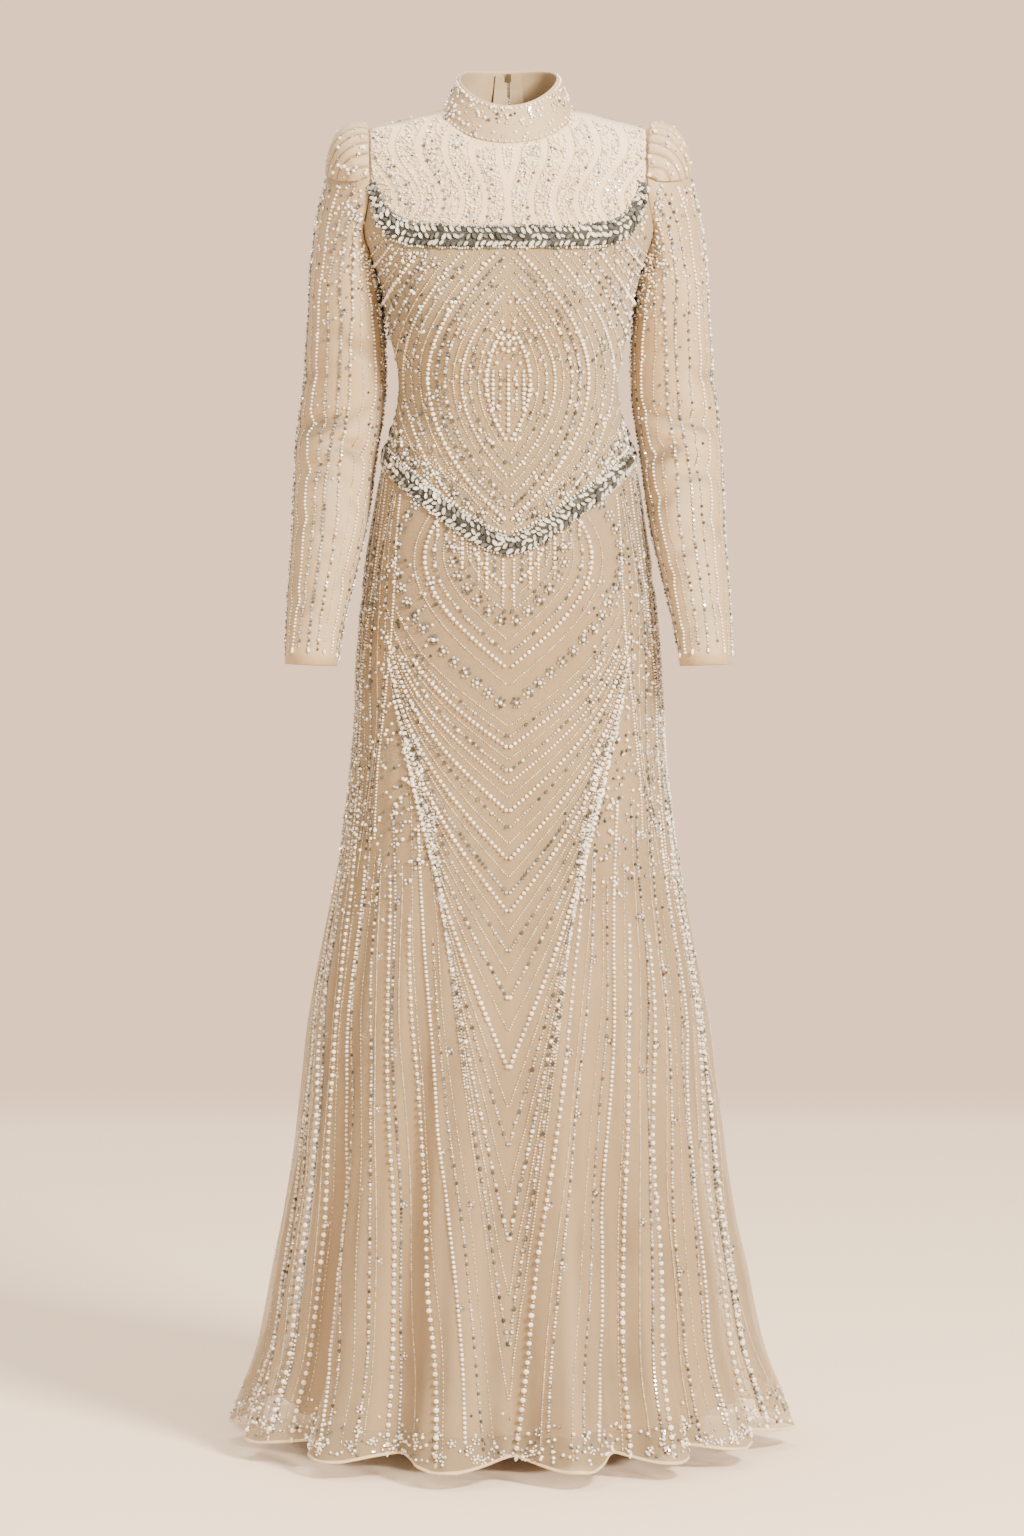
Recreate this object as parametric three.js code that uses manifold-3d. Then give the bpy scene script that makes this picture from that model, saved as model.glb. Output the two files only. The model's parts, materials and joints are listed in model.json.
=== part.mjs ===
// Evening gown, worn and hollow: stand collar, front yoke above a rounded square neckline, basque bodice with a
// pointed waist, long sleeves under gathered shoulder caps, two stone-set bands and a fluted two-layer skirt.
// Millimetres, +Z up, the front faces -Y and the wearer's left is +X. The origin is the middle of the neck, level
// with the shoulder seams' inner ends, where the wearer's shoulders carry the gown.
import * as THREE from "three";
import Module from "manifold-3d";
import { mergeVertices } from "three/addons/utils/BufferGeometryUtils.js";

// ---- driving dimensions -------------------------------------------------------------------------------
const LENGTH = 1470; // neck point to hem
const UNDERARM = -168; // height of the armholes' lowest point
const YOKE_RISE = 154; // from there up to the shoulder tip
const SEAM = 0.4; // gap between two sewn pieces
const NECK = { halfWidth: 70, side: 8, frontDrop: 27, backDrop: 6, share: 0.5, power: 1.1 };
const SHOULDER = { x: 154, z: UNDERARM + YOKE_RISE, round: 75, power: 2.2, neckSlope: 0.4 };
const NECKLINE = { low: -119, rise: 57, x: 151, power: 12 }; // rounded square edge of the bodice
const WAISTLINE = {
  front: { tip: -465, slope: 0.758, round: 20 },
  back: { tip: -412, slope: 0.348, round: 20 },
};
const PRINCESS_SEAM = 0.55; // share of the way from centre front to side seam
const BUST = { z: -204, x: 68, tall: 58, wide: 46, out: 11 };
const CLOTH = { bodice: 2.4, skirt: 1.6, sleeve: 2, collar: 3, cap: 2, tape: 1 };
const UNDERSKIRT = { inset: 4.2, hemRise: 30, shrink: 40, from: -820, flutes: 0.4, perFlute: 2 };
const FLUTE = { from: -760, depth: 26, growth: 1.8, power: 1.4, hemLift: 9 };
const BAND = { neckWidth: 24, neckEnd: 13, narrowing: 1.3, waistWidth: 19, pitch: 9, samples: 160 };
const BAND_HEIGHT = { gap: 0.9, edge: 1, base: 1.6, stone: 3, between: 0.5 };
const BAND_END = { neck: 0.97, waist: 0.998, middle: 0.01 }; // shares of the panels where the bands end
const BACK_OPENING = 2.6; // between the two backs and the collar's ends, closed by the zip behind them
const TAPE = { width: 12, from: 1.2, bodice: 3.5, skirt: 7.2, step: [-405, -375] };
const SLIDER = { up: 0.88, depth: 7.8, bar: 1.4, eye: 2.6, rim: 1, out: 2.4 };
const SLIDER_BODY = { width: 6, tall: 9, thick: 1.4 };
const PULL = { width: 7, length: 25, thick: 1.2, top: 1.2, window: [3.6, 4.2], foot: 4.4, taper: 0.55 };
const QUARTER = 190; // length of cloth from the front's or the back's middle to a side seam, about

// Ovals round the body: height, half width, depth to the front and to the back, and squareness of the oval.
// Above the underarm the width only sets how the yoke rounds towards the armholes.
const BODY = [
  { z: -1470, w: 299, f: 306, b: 312, n: 2.0 },
  { z: -1430, w: 286, f: 282, b: 290, n: 2.0 },
  { z: -1375, w: 268, f: 252, b: 264, n: 2.0 },
  { z: -1297, w: 255, f: 224, b: 240, n: 2.05 },
  { z: -1195, w: 238, f: 196, b: 212, n: 2.1 },
  { z: -1128, w: 231, f: 182, b: 198, n: 2.1 },
  { z: -1060, w: 224, f: 168, b: 184, n: 2.1 },
  { z: -993, w: 217, f: 155, b: 171, n: 2.1 },
  { z: -925, w: 205, f: 140, b: 157, n: 2.15 },
  { z: -860, w: 192, f: 127, b: 145, n: 2.15 },
  { z: -793, w: 182, f: 118, b: 137, n: 2.2 },
  { z: -701, w: 172.5, f: 110, b: 132, n: 2.2 },
  { z: -610, w: 168, f: 107, b: 131, n: 2.2 },
  { z: -542, w: 162, f: 106, b: 125, n: 2.25 },
  { z: -497, w: 156.5, f: 104, b: 115, n: 2.25 },
  { z: -452, w: 149.5, f: 101, b: 104, n: 2.3 },
  { z: -407, w: 142, f: 97, b: 94, n: 2.3 },
  { z: -362, w: 133, f: 94, b: 86, n: 2.3 },
  { z: -330, w: 124.5, f: 92, b: 82, n: 2.3 },
  { z: -300, w: 121.5, f: 93, b: 82, n: 2.3 },
  { z: -272, w: 125, f: 96, b: 85, n: 2.3 },
  { z: -250, w: 130.5, f: 100, b: 88, n: 2.35 },
  { z: -227, w: 136.5, f: 105, b: 92, n: 2.4 },
  { z: -205, w: 139.5, f: 108, b: 95, n: 2.4 },
  { z: -188, w: 142, f: 109, b: 97, n: 2.45 },
  { z: -168, w: 148, f: 109, b: 98, n: 2.5 },
  { z: -158, w: 153, f: 108, b: 98, n: 2.5 },
  { z: -146, w: 158, f: 107, b: 98, n: 2.5 },
  { z: -130, w: 166.5, f: 105, b: 97, n: 2.5 },
  { z: -117, w: 172, f: 103, b: 95, n: 2.5 },
  { z: -100, w: 175, f: 99, b: 92, n: 2.5 },
  { z: -60, w: 178, f: 88, b: 82, n: 2.5 },
  { z: -28, w: 180, f: 77, b: 68, n: 2.5 },
  { z: 10, w: 182, f: 64, b: 54, n: 2.5 },
];

// Armhole edge: share of the way up from the underarm, and half width there.
const ARMHOLE = [
  { t: 0, x: 148 },
  { t: 0.14, x: 154 },
  { t: 0.25, x: 159.5 },
  { t: 0.34, x: 160.5 },
  { t: 0.45, x: 157 },
  { t: 0.62, x: 153.5 },
  { t: 1, x: 154 },
];

// Flutes of the skirt: where the crest stands, in degrees from centre front towards +X, and its height share.
const FLUTES = [
  { at: -170, high: 0.9 },
  { at: -148, high: 0.8 },
  { at: -127, high: 1.0 },
  { at: -106, high: 0.7 },
  { at: -88, high: 0.4 },
  { at: -66, high: 0.7 },
  { at: -40, high: 1.0 },
  { at: -13, high: 1.15 },
  { at: 15, high: 1.2 },
  { at: 36, high: 0.9 },
  { at: 56, high: 0.7 },
  { at: 82, high: 0.8 },
  { at: 104, high: 0.7 },
  { at: 126, high: 1.0 },
  { at: 147, high: 0.85 },
  { at: 169, high: 0.9 },
];

// Arm of the sleeve below the cap: centre, and half sizes across and front to back.
const ARM = [
  { z: -222, x: 180.5, y: 4, rx: 41, ry: 50 },
  { z: -250, x: 180.5, y: 7, rx: 43.5, ry: 50 },
  { z: -285, x: 181, y: 9, rx: 45, ry: 49.5 },
  { z: -317, x: 183, y: 10, rx: 46, ry: 49 },
  { z: -362, x: 189.5, y: 6, rx: 45.5, ry: 48 },
  { z: -407, x: 194, y: -5, rx: 43.5, ry: 45.5 },
  { z: -448, x: 198, y: -20, rx: 41.5, ry: 42.5 },
  { z: -491, x: 204, y: -37, rx: 37.5, ry: 39 },
  { z: -533, x: 211, y: -54, rx: 34, ry: 35.5 },
  { z: -575, x: 216.5, y: -70, rx: 30.5, ry: 32 },
  { z: -603, x: 219, y: -80, rx: 29, ry: 30.5 },
];

// Sleeve creases: height, angle from the outer side towards the front, reach round, height and depth.
const CREASES = [
  { z: -345, at: 60, reach: 75, tall: 9, deep: 3.2, lean: 0.25 },
  { z: -372, at: 110, reach: 60, tall: 8, deep: 3.6, lean: -0.3 },
  { z: -398, at: 70, reach: 70, tall: 8, deep: 2.6, lean: 0.2 },
  { z: -355, at: -70, reach: 60, tall: 9, deep: 2.4, lean: 0.2 },
  { z: -480, at: 95, reach: 50, tall: 7, deep: 1.8, lean: -0.2 },
  { z: -540, at: 60, reach: 50, tall: 7, deep: 1.6, lean: 0.15 },
];
const CAP = { start: 0.012, end: 0.42, reach: 64, round: 66.6, gathers: 11, ridge: 2.3, puff: 6, lift: 1.2 };
const CAP_TANGENT = { out: 140, power: 1.2, forward: 10, up: 20, down: 60, drop: 200 };
const ARMHOLE_STEPS = [0, 6, 18, 36, 58, 82, 106, 126, 144, YOKE_RISE]; // heights of the panels' rows
const SLEEVE_RUNS = [0, 0.13, 0.27, 0.42, 0.6, 0.8, 1, 1.13, 1.24, 1.31, 1.37, 1.43, 1.5, 1.6, 1.7, 1.8, 1.9, 2];
const CAP_RUNS = [0, 0.16, 0.38, 0.62, 0.84, 1]; // shares of the way over the cap
const COLUMNS_PER_FLUTE = 4;

// ---- small helpers ------------------------------------------------------------------------------------
const rad = (degrees) => (degrees * Math.PI) / 180;
const lerp = (a, b, t) => a + (b - a) * t;
const clamp = (value, low, high) => Math.min(high, Math.max(low, value));
const signedPower = (value, power) => Math.sign(value) * Math.abs(value) ** power;
const smooth = (t) => clamp(t, 0, 1) ** 2 * (3 - 2 * clamp(t, 0, 1));
const range = (count) => Array.from({ length: count + 1 }, (_, i) => i / count);

// Smooth curve through a table: the value of one column where another column has a given value.
function column(table, by, name, at) {
  const up = table[table.length - 1][by] > table[0][by];
  const inside = (i) => (up ? table[i + 1][by] < at : table[i + 1][by] > at);
  let i = 0;
  while (i < table.length - 2 && inside(i)) i += 1;
  const slope = (k) => {
    const a = table[Math.max(k - 1, 0)];
    const b = table[Math.min(k + 1, table.length - 1)];
    return (b[name] - a[name]) / (b[by] - a[by]);
  };
  const [p, q] = [table[i], table[i + 1]];
  const span = q[by] - p[by];
  const t = clamp((at - p[by]) / span, 0, 1);
  const bend = (t - 1) ** 2 * t * slope(i) * span + t * t * (t - 1) * slope(i + 1) * span;
  return p[name] + (q[name] - p[name]) * t * t * (3 - 2 * t) + bend;
}

// ---- the body's surface -------------------------------------------------------------------------------
// How far the cloth stands in front of (side -1) or behind (side +1) the frame's middle at a place on the yoke.
function yokeDepth(side, x, z) {
  const depth = column(BODY, "z", side < 0 ? "f" : "b", z);
  const n = column(BODY, "z", "n", z);
  const across = Math.max(0, 1 - (Math.abs(x) / column(BODY, "z", "w", z)) ** n) ** (1 / n);
  const slope = (NECK.side - SHOULDER.z) / (SHOULDER.x - NECK.halfWidth);
  const off = Math.abs(x) - NECK.halfWidth;
  const ridge = NECK.side - (off > 0 ? slope : SHOULDER.neckSlope) * off;
  const below = clamp((ridge - z) / SHOULDER.round, 0, 1);
  return depth * across * (1 - (1 - below) ** SHOULDER.power) ** (1 / SHOULDER.power);
}

const bustAt = (x, z) =>
  BUST.out *
  Math.exp(-(((z - BUST.z) / BUST.tall) ** 2)) *
  Math.exp(-(((Math.abs(x) - BUST.x) / BUST.wide) ** 2));

// Wave of the flutes at an angle: 1 on a crest, -1 in a valley.
function fluteAt(angle) {
  const after = FLUTES.findIndex((flute) => flute.at > angle);
  const next = after < 0 ? { ...FLUTES[0], at: FLUTES[0].at + 360 } : FLUTES[after];
  const last = FLUTES[FLUTES.length - 1];
  let previous = after < 0 ? last : FLUTES[after - 1];
  if (after === 0) previous = { ...last, at: last.at - 360 };
  const t = (angle - previous.at) / (next.at - previous.at);
  return lerp(previous.high, next.high, t) * (2 * Math.abs(Math.cos(Math.PI * t)) ** FLUTE.power - 1);
}

// Angle from centre front, towards +X, of a share across the front or the back.
const angleOf = (side, u) => (side < 0 ? 90 * u : (u < 0 ? -1 : 1) * (180 - 90 * Math.abs(u)));

// Point of the outer cloth: side -1 front or +1 back, u -1 to 1 between the side seams, h above the underarm.
function body(side, u, h, layer = "outer") {
  const a = rad(90 * u);
  if (h <= 0) {
    const z = UNDERARM + h;
    const n = column(BODY, "z", "n", z);
    const depth = column(BODY, "z", side < 0 ? "f" : "b", z);
    const x = column(BODY, "z", "w", z) * signedPower(Math.sin(a), 2 / n);
    const y = side * depth * signedPower(Math.cos(a), 2 / n);
    const low = clamp((FLUTE.from - z) / (LENGTH + FLUTE.from), 0, 1);
    const angle = angleOf(side, u);
    const inner = layer === "underskirt";
    const shrunk = clamp((UNDERSKIRT.from - z) / (LENGTH + UNDERSKIRT.from), 0, 1);
    const wave = FLUTE.depth * low ** FLUTE.growth * fluteAt(angle);
    const out = inner ? UNDERSKIRT.flutes * wave - UNDERSKIRT.shrink * shrunk : wave;
    const bust = side < 0 ? bustAt(x, z) : 0;
    return new THREE.Vector3(x + out * Math.sin(a), y + side * (out * Math.cos(a) + bust), z);
  }
  const t = h / YOKE_RISE;
  const p = Math.abs(u);
  const foot = Math.sin(rad(90 * p)) ** (2 / column(BODY, "z", "n", UNDERARM));
  const neckTurn = rad((90 * Math.min(p, NECK.share)) / NECK.share);
  const shoulderShare = Math.max(0, (p - NECK.share) / (1 - NECK.share));
  const drop = side < 0 ? NECK.frontDrop : NECK.backDrop;
  const onNeck = p < NECK.share;
  const neckX = NECK.halfWidth * Math.sin(neckTurn);
  const neckZ = NECK.side - drop * Math.cos(neckTurn) ** NECK.power;
  const topX = onNeck ? neckX : lerp(NECK.halfWidth, SHOULDER.x, shoulderShare);
  const topZ = onNeck ? neckZ : lerp(NECK.side, SHOULDER.z, shoulderShare);
  const x = Math.sign(u) * column(ARMHOLE, "t", "x", t) * lerp(foot, topX / SHOULDER.x, t);
  const z = lerp(UNDERARM, topZ, t);
  return new THREE.Vector3(x, side * (yokeDepth(side, x, z) + (side < 0 ? bustAt(x, z) : 0)), z);
}

// Unit normal of a surface, pointing away from the body's middle line.
function normalOf(surface, u, v, stepU, stepV, limitU, limitV) {
  const [u0, u1] = [Math.max(u - stepU, limitU[0]), Math.min(u + stepU, limitU[1])];
  const [v0, v1] = [Math.max(v - stepV, limitV[0]), Math.min(v + stepV, limitV[1])];
  const across = surface(u1, v).sub(surface(u0, v));
  return across.cross(surface(u, v1).sub(surface(u, v0))).normalize();
}

function bodyNormal(side, u, h, layer) {
  const surface = (p, q) => body(side, p, q, layer);
  const normal = normalOf(surface, u, h, 2e-3, 0.6, [-1, 1], [-LENGTH, YOKE_RISE]);
  return normal.multiplyScalar(side < 0 ? 1 : -1);
}

// Height above the underarm where a column of the body meets a line given as height over half width.
function heightOn(side, u, line) {
  let [low, high] = [-LENGTH, YOKE_RISE];
  for (let halving = 0; halving < 40; halving += 1) {
    const middle = (low + high) / 2;
    const point = body(side, u, middle);
    if (point.z < line(Math.abs(point.x))) low = middle;
    else high = middle;
  }
  return (low + high) / 2;
}

const necklineAt = (x) =>
  NECKLINE.low + NECKLINE.rise * (Math.min(x, NECKLINE.x) / NECKLINE.x) ** NECKLINE.power;
const waistlineAt = (side) => (x) => {
  const line = side < 0 ? WAISTLINE.front : WAISTLINE.back;
  return line.tip - line.round + Math.hypot(line.slope * x, line.round);
};
const necklineHeight = (u) => heightOn(-1, u, necklineAt);
const waistHeight = (side, u) => heightOn(side, u, waistlineAt(side));

// ---- walls --------------------------------------------------------------------------------------------
// Closed solid between two grids of points, given row by row; a ring's rows close on themselves.
function wall(outer, inner, closed = false) {
  const [rows, columns] = [outer.length, outer[0].length];
  const points = [...outer.flat(), ...inner.flat()];
  const at = (layer, i, j) => layer * rows * columns + i * columns + (j % columns);
  const faces = [];
  const quad = (a, b, c, d) => faces.push(a, b, c, a, c, d);
  const across = closed ? columns : columns - 1;
  for (let i = 0; i < rows - 1; i += 1)
    for (let j = 0; j < across; j += 1) {
      quad(at(0, i, j), at(0, i, j + 1), at(0, i + 1, j + 1), at(0, i + 1, j));
      quad(at(1, i, j), at(1, i + 1, j), at(1, i + 1, j + 1), at(1, i, j + 1));
    }
  for (let j = 0; j < across; j += 1) {
    quad(at(0, 0, j), at(1, 0, j), at(1, 0, j + 1), at(0, 0, j + 1));
    quad(at(0, rows - 1, j), at(0, rows - 1, j + 1), at(1, rows - 1, j + 1), at(1, rows - 1, j));
  }
  for (let i = 0; !closed && i < rows - 1; i += 1) {
    quad(at(0, i, 0), at(0, i + 1, 0), at(1, i + 1, 0), at(1, i, 0));
    quad(at(0, i, across), at(1, i, across), at(1, i + 1, across), at(0, i + 1, across));
  }
  return facingOut(points, faces);
}

function facingOut(points, faces) {
  let volume = 0;
  for (let k = 0; k < faces.length; k += 3) {
    const [a, b, c] = [points[faces[k]], points[faces[k + 1]], points[faces[k + 2]]];
    volume += a.dot(b.clone().cross(c));
  }
  const order = volume < 0 ? faces.reverse() : faces;
  const geometry = new THREE.BufferGeometry();
  geometry.setAttribute("position", new THREE.Float32BufferAttribute(points.flatMap((p) => p.toArray()), 3));
  geometry.setIndex(order);
  geometry.computeVertexNormals();
  return geometry;
}

// Panel of the body: thick, and as far inside the outer cloth as inset says. Each row gives its height above the
// underarm from the panel's lower and upper edges there; front and back panels stop short of the seams between.
function panel(side, columns, rows, low, high, thick, inset = 0, layer = "outer") {
  const grid = (depth) =>
    rows.map((row) =>
      columns.map((u) => {
        const h = row(low(u), high(u));
        const place = body(side, u, h, layer).addScaledVector(bodyNormal(side, u, h, layer), -depth);
        place.y = side * Math.max(side * place.y, SEAM / 2);
        return place;
      }),
    );
  return wall(grid(inset), grid(inset + thick));
}

// Rows of a panel at shares of the way from its lower to its upper edge.
const straightRows = (shares) => shares.map((share) => (low, high) => lerp(low, high, share));

// Rows of a panel that crosses the underarm: some below it and some above.
const crossingRows = (below, above) => [
  ...range(below).map((share) => (low) => lerp(low, 0, share)),
  ...above.map((share) => (low, high) => lerp(0, high, share)),
];

// ---- materials ----------------------------------------------------------------------------------------
const finish = (color, roughness, metalness = 0) =>
  new THREE.MeshStandardMaterial({ color, roughness, metalness });
const MATERIAL = {
  net: finish("#e2d2ba", 0.6),
  yoke: finish("#eee2d2", 0.6),
  lining: finish("#dcc6a6", 0.45),
  satin: finish("#e6d3b8", 0.5),
  stones: finish("#b8b4a6", 0.25, 0.4),
  metal: finish("#c9b07c", 0.3, 0.9),
};

const gown = new THREE.Group();
function add(name, geometry, material, parent = gown) {
  const mesh = new THREE.Mesh(geometry, material);
  mesh.name = name;
  parent.add(mesh);
  return mesh;
}

// ---- bodice and yoke ----------------------------------------------------------------------------------
// Columns at the skirt's crests, valleys and between them; pieces sewn to one another share them.
function columnsOf(side, low, high, perFlute = COLUMNS_PER_FLUTE) {
  const angles = FLUTES.flatMap((flute, k) => {
    const next = k + 1 < FLUTES.length ? FLUTES[k + 1].at : FLUTES[0].at + 360;
    return range(perFlute).slice(0, -1).map((share) => lerp(flute.at, next, share));
  });
  const shares = angles.map((angle) => {
    const turned = ((angle + 540) % 360) - 180;
    if (side < 0) return turned / 90;
    return (Math.sign(turned) * (180 - Math.abs(turned))) / 90;
  });
  const clear = 0.02;
  const inside = shares.filter((share) => share > low + clear && share < high - clear).sort((a, b) => a - b);
  return [low, ...inside, high];
}

const between = (low, high, count) => range(count).map((share) => lerp(low, high, share));
const HALF = SEAM / 2;
const SEAM_U = HALF / QUARTER; // half a seam gap as a share of the front or back
const OPENING_U = BACK_OPENING / 2 / QUARTER;
const NECKLINE_TIP = NECKLINE.low + NECKLINE.rise - UNDERARM; // its height on the armhole edge
const BELOW_TIP = ARMHOLE_STEPS.filter((h) => h <= NECKLINE_TIP);
const ABOVE_TIP = ARMHOLE_STEPS.filter((h) => h >= NECKLINE_TIP);
const ROWS_BELOW_ARM = 6;
const top = () => YOKE_RISE;

function addYoke() {
  const low = (u) => necklineHeight(u) + HALF;
  const columns = columnsOf(-1, -1, 1);
  const rows = straightRows(ABOVE_TIP.map((h) => (h - NECKLINE_TIP) / (YOKE_RISE - NECKLINE_TIP)));
  add("yoke_front", panel(-1, columns, rows, low, top, CLOTH.bodice), MATERIAL.yoke);
}

function addBodiceFront() {
  const low = (u) => waistHeight(-1, u) + HALF;
  const high = (u) => necklineHeight(u) - HALF;
  const rows = crossingRows(ROWS_BELOW_ARM, BELOW_TIP.slice(1).map((h) => h / NECKLINE_TIP));
  const middle = columnsOf(-1, -PRINCESS_SEAM + SEAM_U, PRINCESS_SEAM - SEAM_U);
  add("bodice_front", panel(-1, middle, rows, low, high, CLOTH.bodice), MATERIAL.net);
  for (const [name, sign] of [["left", 1], ["right", -1]]) {
    const inner = PRINCESS_SEAM + SEAM_U;
    const columns = sign > 0 ? columnsOf(-1, inner, 1) : columnsOf(-1, -1, -inner);
    add(`bodice_side_${name}`, panel(-1, columns, rows, low, high, CLOTH.bodice), MATERIAL.net);
  }
}

function addBack() {
  const low = (u) => waistHeight(1, u) + HALF;
  const rows = crossingRows(ROWS_BELOW_ARM, ARMHOLE_STEPS.slice(1).map((h) => h / YOKE_RISE));
  for (const [name, sign] of [["left", 1], ["right", -1]]) {
    const columns = sign > 0 ? columnsOf(1, OPENING_U, 1) : columnsOf(1, -1, -OPENING_U);
    add(`back_${name}`, panel(1, columns, rows, low, top, CLOTH.bodice), MATERIAL.net);
  }
}

// ---- skirt --------------------------------------------------------------------------------------------
const SKIRT_HEIGHTS = [-1370, -1260, -1140, -1020, -910, -800, -700, -610, -540];

// Rows of a skirt layer: its hem, the heights both layers share, and two more up to the waist seam.
const SKIRT_ROWS = [
  (low) => low,
  ...SKIRT_HEIGHTS.map((z) => () => z - UNDERARM),
  (low, high) => lerp(SKIRT_HEIGHTS[SKIRT_HEIGHTS.length - 1] - UNDERARM, high, 0.5),
  (low, high) => high,
];

// Pieces of each layer, which the front and the two backs share out round the body.
const SKIRT_PIECES = [
  { name: "front", side: -1, from: -1, to: 1 },
  { name: "back_left", side: 1, from: SEAM_U, to: 1 },
  { name: "back_right", side: 1, from: -1, to: -SEAM_U },
];

// Hem's height above the underarm: lifted a little in the valleys.
const hemOf = (side) => (u) => {
  const valley = (1 - clamp(fluteAt(angleOf(side, u)), -1, 1)) / 2;
  return -LENGTH - UNDERARM + FLUTE.hemLift * valley;
};

const waistEdge = (side) => (u) => waistHeight(side, u) - HALF;

function addSkirt() {
  for (const { name, side, from, to } of SKIRT_PIECES) {
    const piece = panel(side, columnsOf(side, from, to), SKIRT_ROWS, hemOf(side), waistEdge(side), CLOTH.skirt);
    add(`skirt_${name}`, piece, MATERIAL.net);
  }
}

function addUnderskirt() {
  const low = () => -LENGTH - UNDERARM + UNDERSKIRT.hemRise;
  const { inset, perFlute } = UNDERSKIRT;
  for (const { name, side, from, to } of SKIRT_PIECES) {
    const columns = columnsOf(side, from, to, perFlute);
    const piece = panel(side, columns, SKIRT_ROWS, low, waistEdge(side), CLOTH.skirt, inset, "underskirt");
    add(`underskirt_${name}`, piece, MATERIAL.lining);
  }
}

// ---- collar -------------------------------------------------------------------------------------------
const COLLAR = { halfWidth: 56, y: -7, halfDepth: 53, rows: 3, columns: 36, bow: 1.5, round: 330 };
const COLLAR_TOP = { middle: 37, towardsBack: 11, sides: 6 };

// Point of the collar's outer face: turn 0 to 1 from one centre-back edge round the front to the other.
function collarPoint(turn, up) {
  const quarter = turn * 4;
  const back = quarter < 1 || quarter > 3;
  const share = quarter < 1 ? -quarter : quarter > 3 ? 4 - quarter : quarter - 2;
  const foot = body(back ? 1 : -1, NECK.share * share, YOKE_RISE);
  const angle = rad(360 * turn);
  const rise = COLLAR_TOP.towardsBack * Math.cos(angle) - COLLAR_TOP.sides * Math.cos(2 * angle);
  const head = new THREE.Vector3(
    -COLLAR.halfWidth * Math.sin(angle),
    COLLAR.y + COLLAR.halfDepth * Math.cos(angle),
    COLLAR_TOP.middle + rise,
  );
  foot.z += SEAM;
  return foot.lerp(head, up).add(new THREE.Vector3(0, 0, COLLAR.bow * Math.sin(Math.PI * up)));
}

function addCollar() {
  const open = BACK_OPENING / 2 / COLLAR.round;
  const turns = between(open, 1 - open, COLLAR.columns);
  const inwards = (point, by) => {
    const direction = new THREE.Vector3(-point.x, COLLAR.y - point.y, 0).normalize();
    return point.clone().addScaledVector(direction, by);
  };
  const outer = range(COLLAR.rows).map((up) => turns.map((turn) => collarPoint(turn, up)));
  const inner = outer.map((row) => row.map((point) => inwards(point, CLOTH.collar)));
  add("collar", wall(outer, inner), MATERIAL.satin);
}

// ---- sleeves ------------------------------------------------------------------------------------------
// Edge of the +X armhole at the panels' own rows: from the shoulder tip down the front and up the back.
const armholePoints = [
  ...ARMHOLE_STEPS.toReversed().map((h) => body(-1, 1, h)),
  ...ARMHOLE_STEPS.slice(1, -1).map((h) => body(1, 1, h)),
];
const armholeLoop = new THREE.CatmullRomCurve3(armholePoints, true);
const armholeTurns = armholePoints.reduce(
  (turns, point, k) => [...turns, turns[k] + point.distanceTo(armholePoints[(k + 1) % armholePoints.length])],
  [0],
);
const armholeLength = armholeTurns[armholePoints.length];
const SLEEVE_TURNS = armholeTurns.slice(0, -1).map((length) => length / armholeLength);

// Point of the armhole edge at a share of the way round it.
function armholeAt(turn) {
  const length = (((turn % 1) + 1) % 1) * armholeLength;
  const next = Math.max(1, armholeTurns.findIndex((at) => at >= length - 1e-9));
  const share = (length - armholeTurns[next - 1]) / (armholeTurns[next] - armholeTurns[next - 1]);
  return armholeLoop.getPoint((next - 1 + share) / armholePoints.length);
}

// Point of the arm's outer face at a height and a share of the turn from its outer side to the front.
function armRing(z, turn) {
  const at = (name, height) => column(ARM, "z", name, height);
  const centre = (height) => new THREE.Vector3(at("x", height), at("y", height), height);
  const step = 6;
  const ahead = centre(z - step).sub(centre(z + step)).normalize();
  const forward = new THREE.Vector3(0, -1, 0).addScaledVector(ahead, ahead.y).normalize();
  const outward = new THREE.Vector3(1, 0, 0).addScaledVector(ahead, -ahead.x).normalize();
  const angle = 2 * Math.PI * turn;
  const crease = creaseAt(turn * 360, z);
  return centre(z)
    .addScaledVector(outward, (at("rx", z) - crease) * Math.cos(angle))
    .addScaledVector(forward, (at("ry", z) - crease) * Math.sin(angle));
}

function creaseAt(angle, z) {
  return CREASES.reduce((sum, crease) => {
    const off = ((angle - crease.at + 540) % 360) - 180;
    const level = (z - crease.z - crease.lean * off) / crease.tall;
    return sum + crease.deep * Math.exp(-level * level) * smooth(1 - Math.abs(off) / crease.reach);
  }, 0);
}

// Point of the +X sleeve's outer face: turn round it, and run 0 to 1 over the cap and on to 2 at the cuff.
function sleevePoint(turn, run) {
  if (run >= 1) return armRing(lerp(ARM[0].z, ARM[ARM.length - 1].z, run - 1), turn);
  const start = armholeAt(turn);
  start.x += SEAM;
  const end = armRing(ARM[0].z, turn);
  const angle = 2 * Math.PI * turn;
  const high = (1 + Math.cos(angle)) / 2;
  const { out, power, forward, up, down, drop } = CAP_TANGENT;
  const leave = new THREE.Vector3(out * high ** power, -forward * Math.sin(angle), lerp(-down, up, high));
  const arrive = new THREE.Vector3(0, 0, -(down + drop * high));
  const [s, r] = [run, 1 - run];
  return start
    .multiplyScalar(r * r * (1 + 2 * s))
    .addScaledVector(leave, s * r * r)
    .addScaledVector(end, s * s * (3 - 2 * s))
    .addScaledVector(arrive, -s * s * r);
}

function sleeveNormal(turn, run) {
  return normalOf(sleevePoint, turn, run, 4e-3, 6e-3, [-9, 9], [0, 2]);
}

function mirrored(points, sign) {
  return points.map((row) => row.map((point) => new THREE.Vector3(point.x * sign, point.y, point.z)));
}

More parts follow.
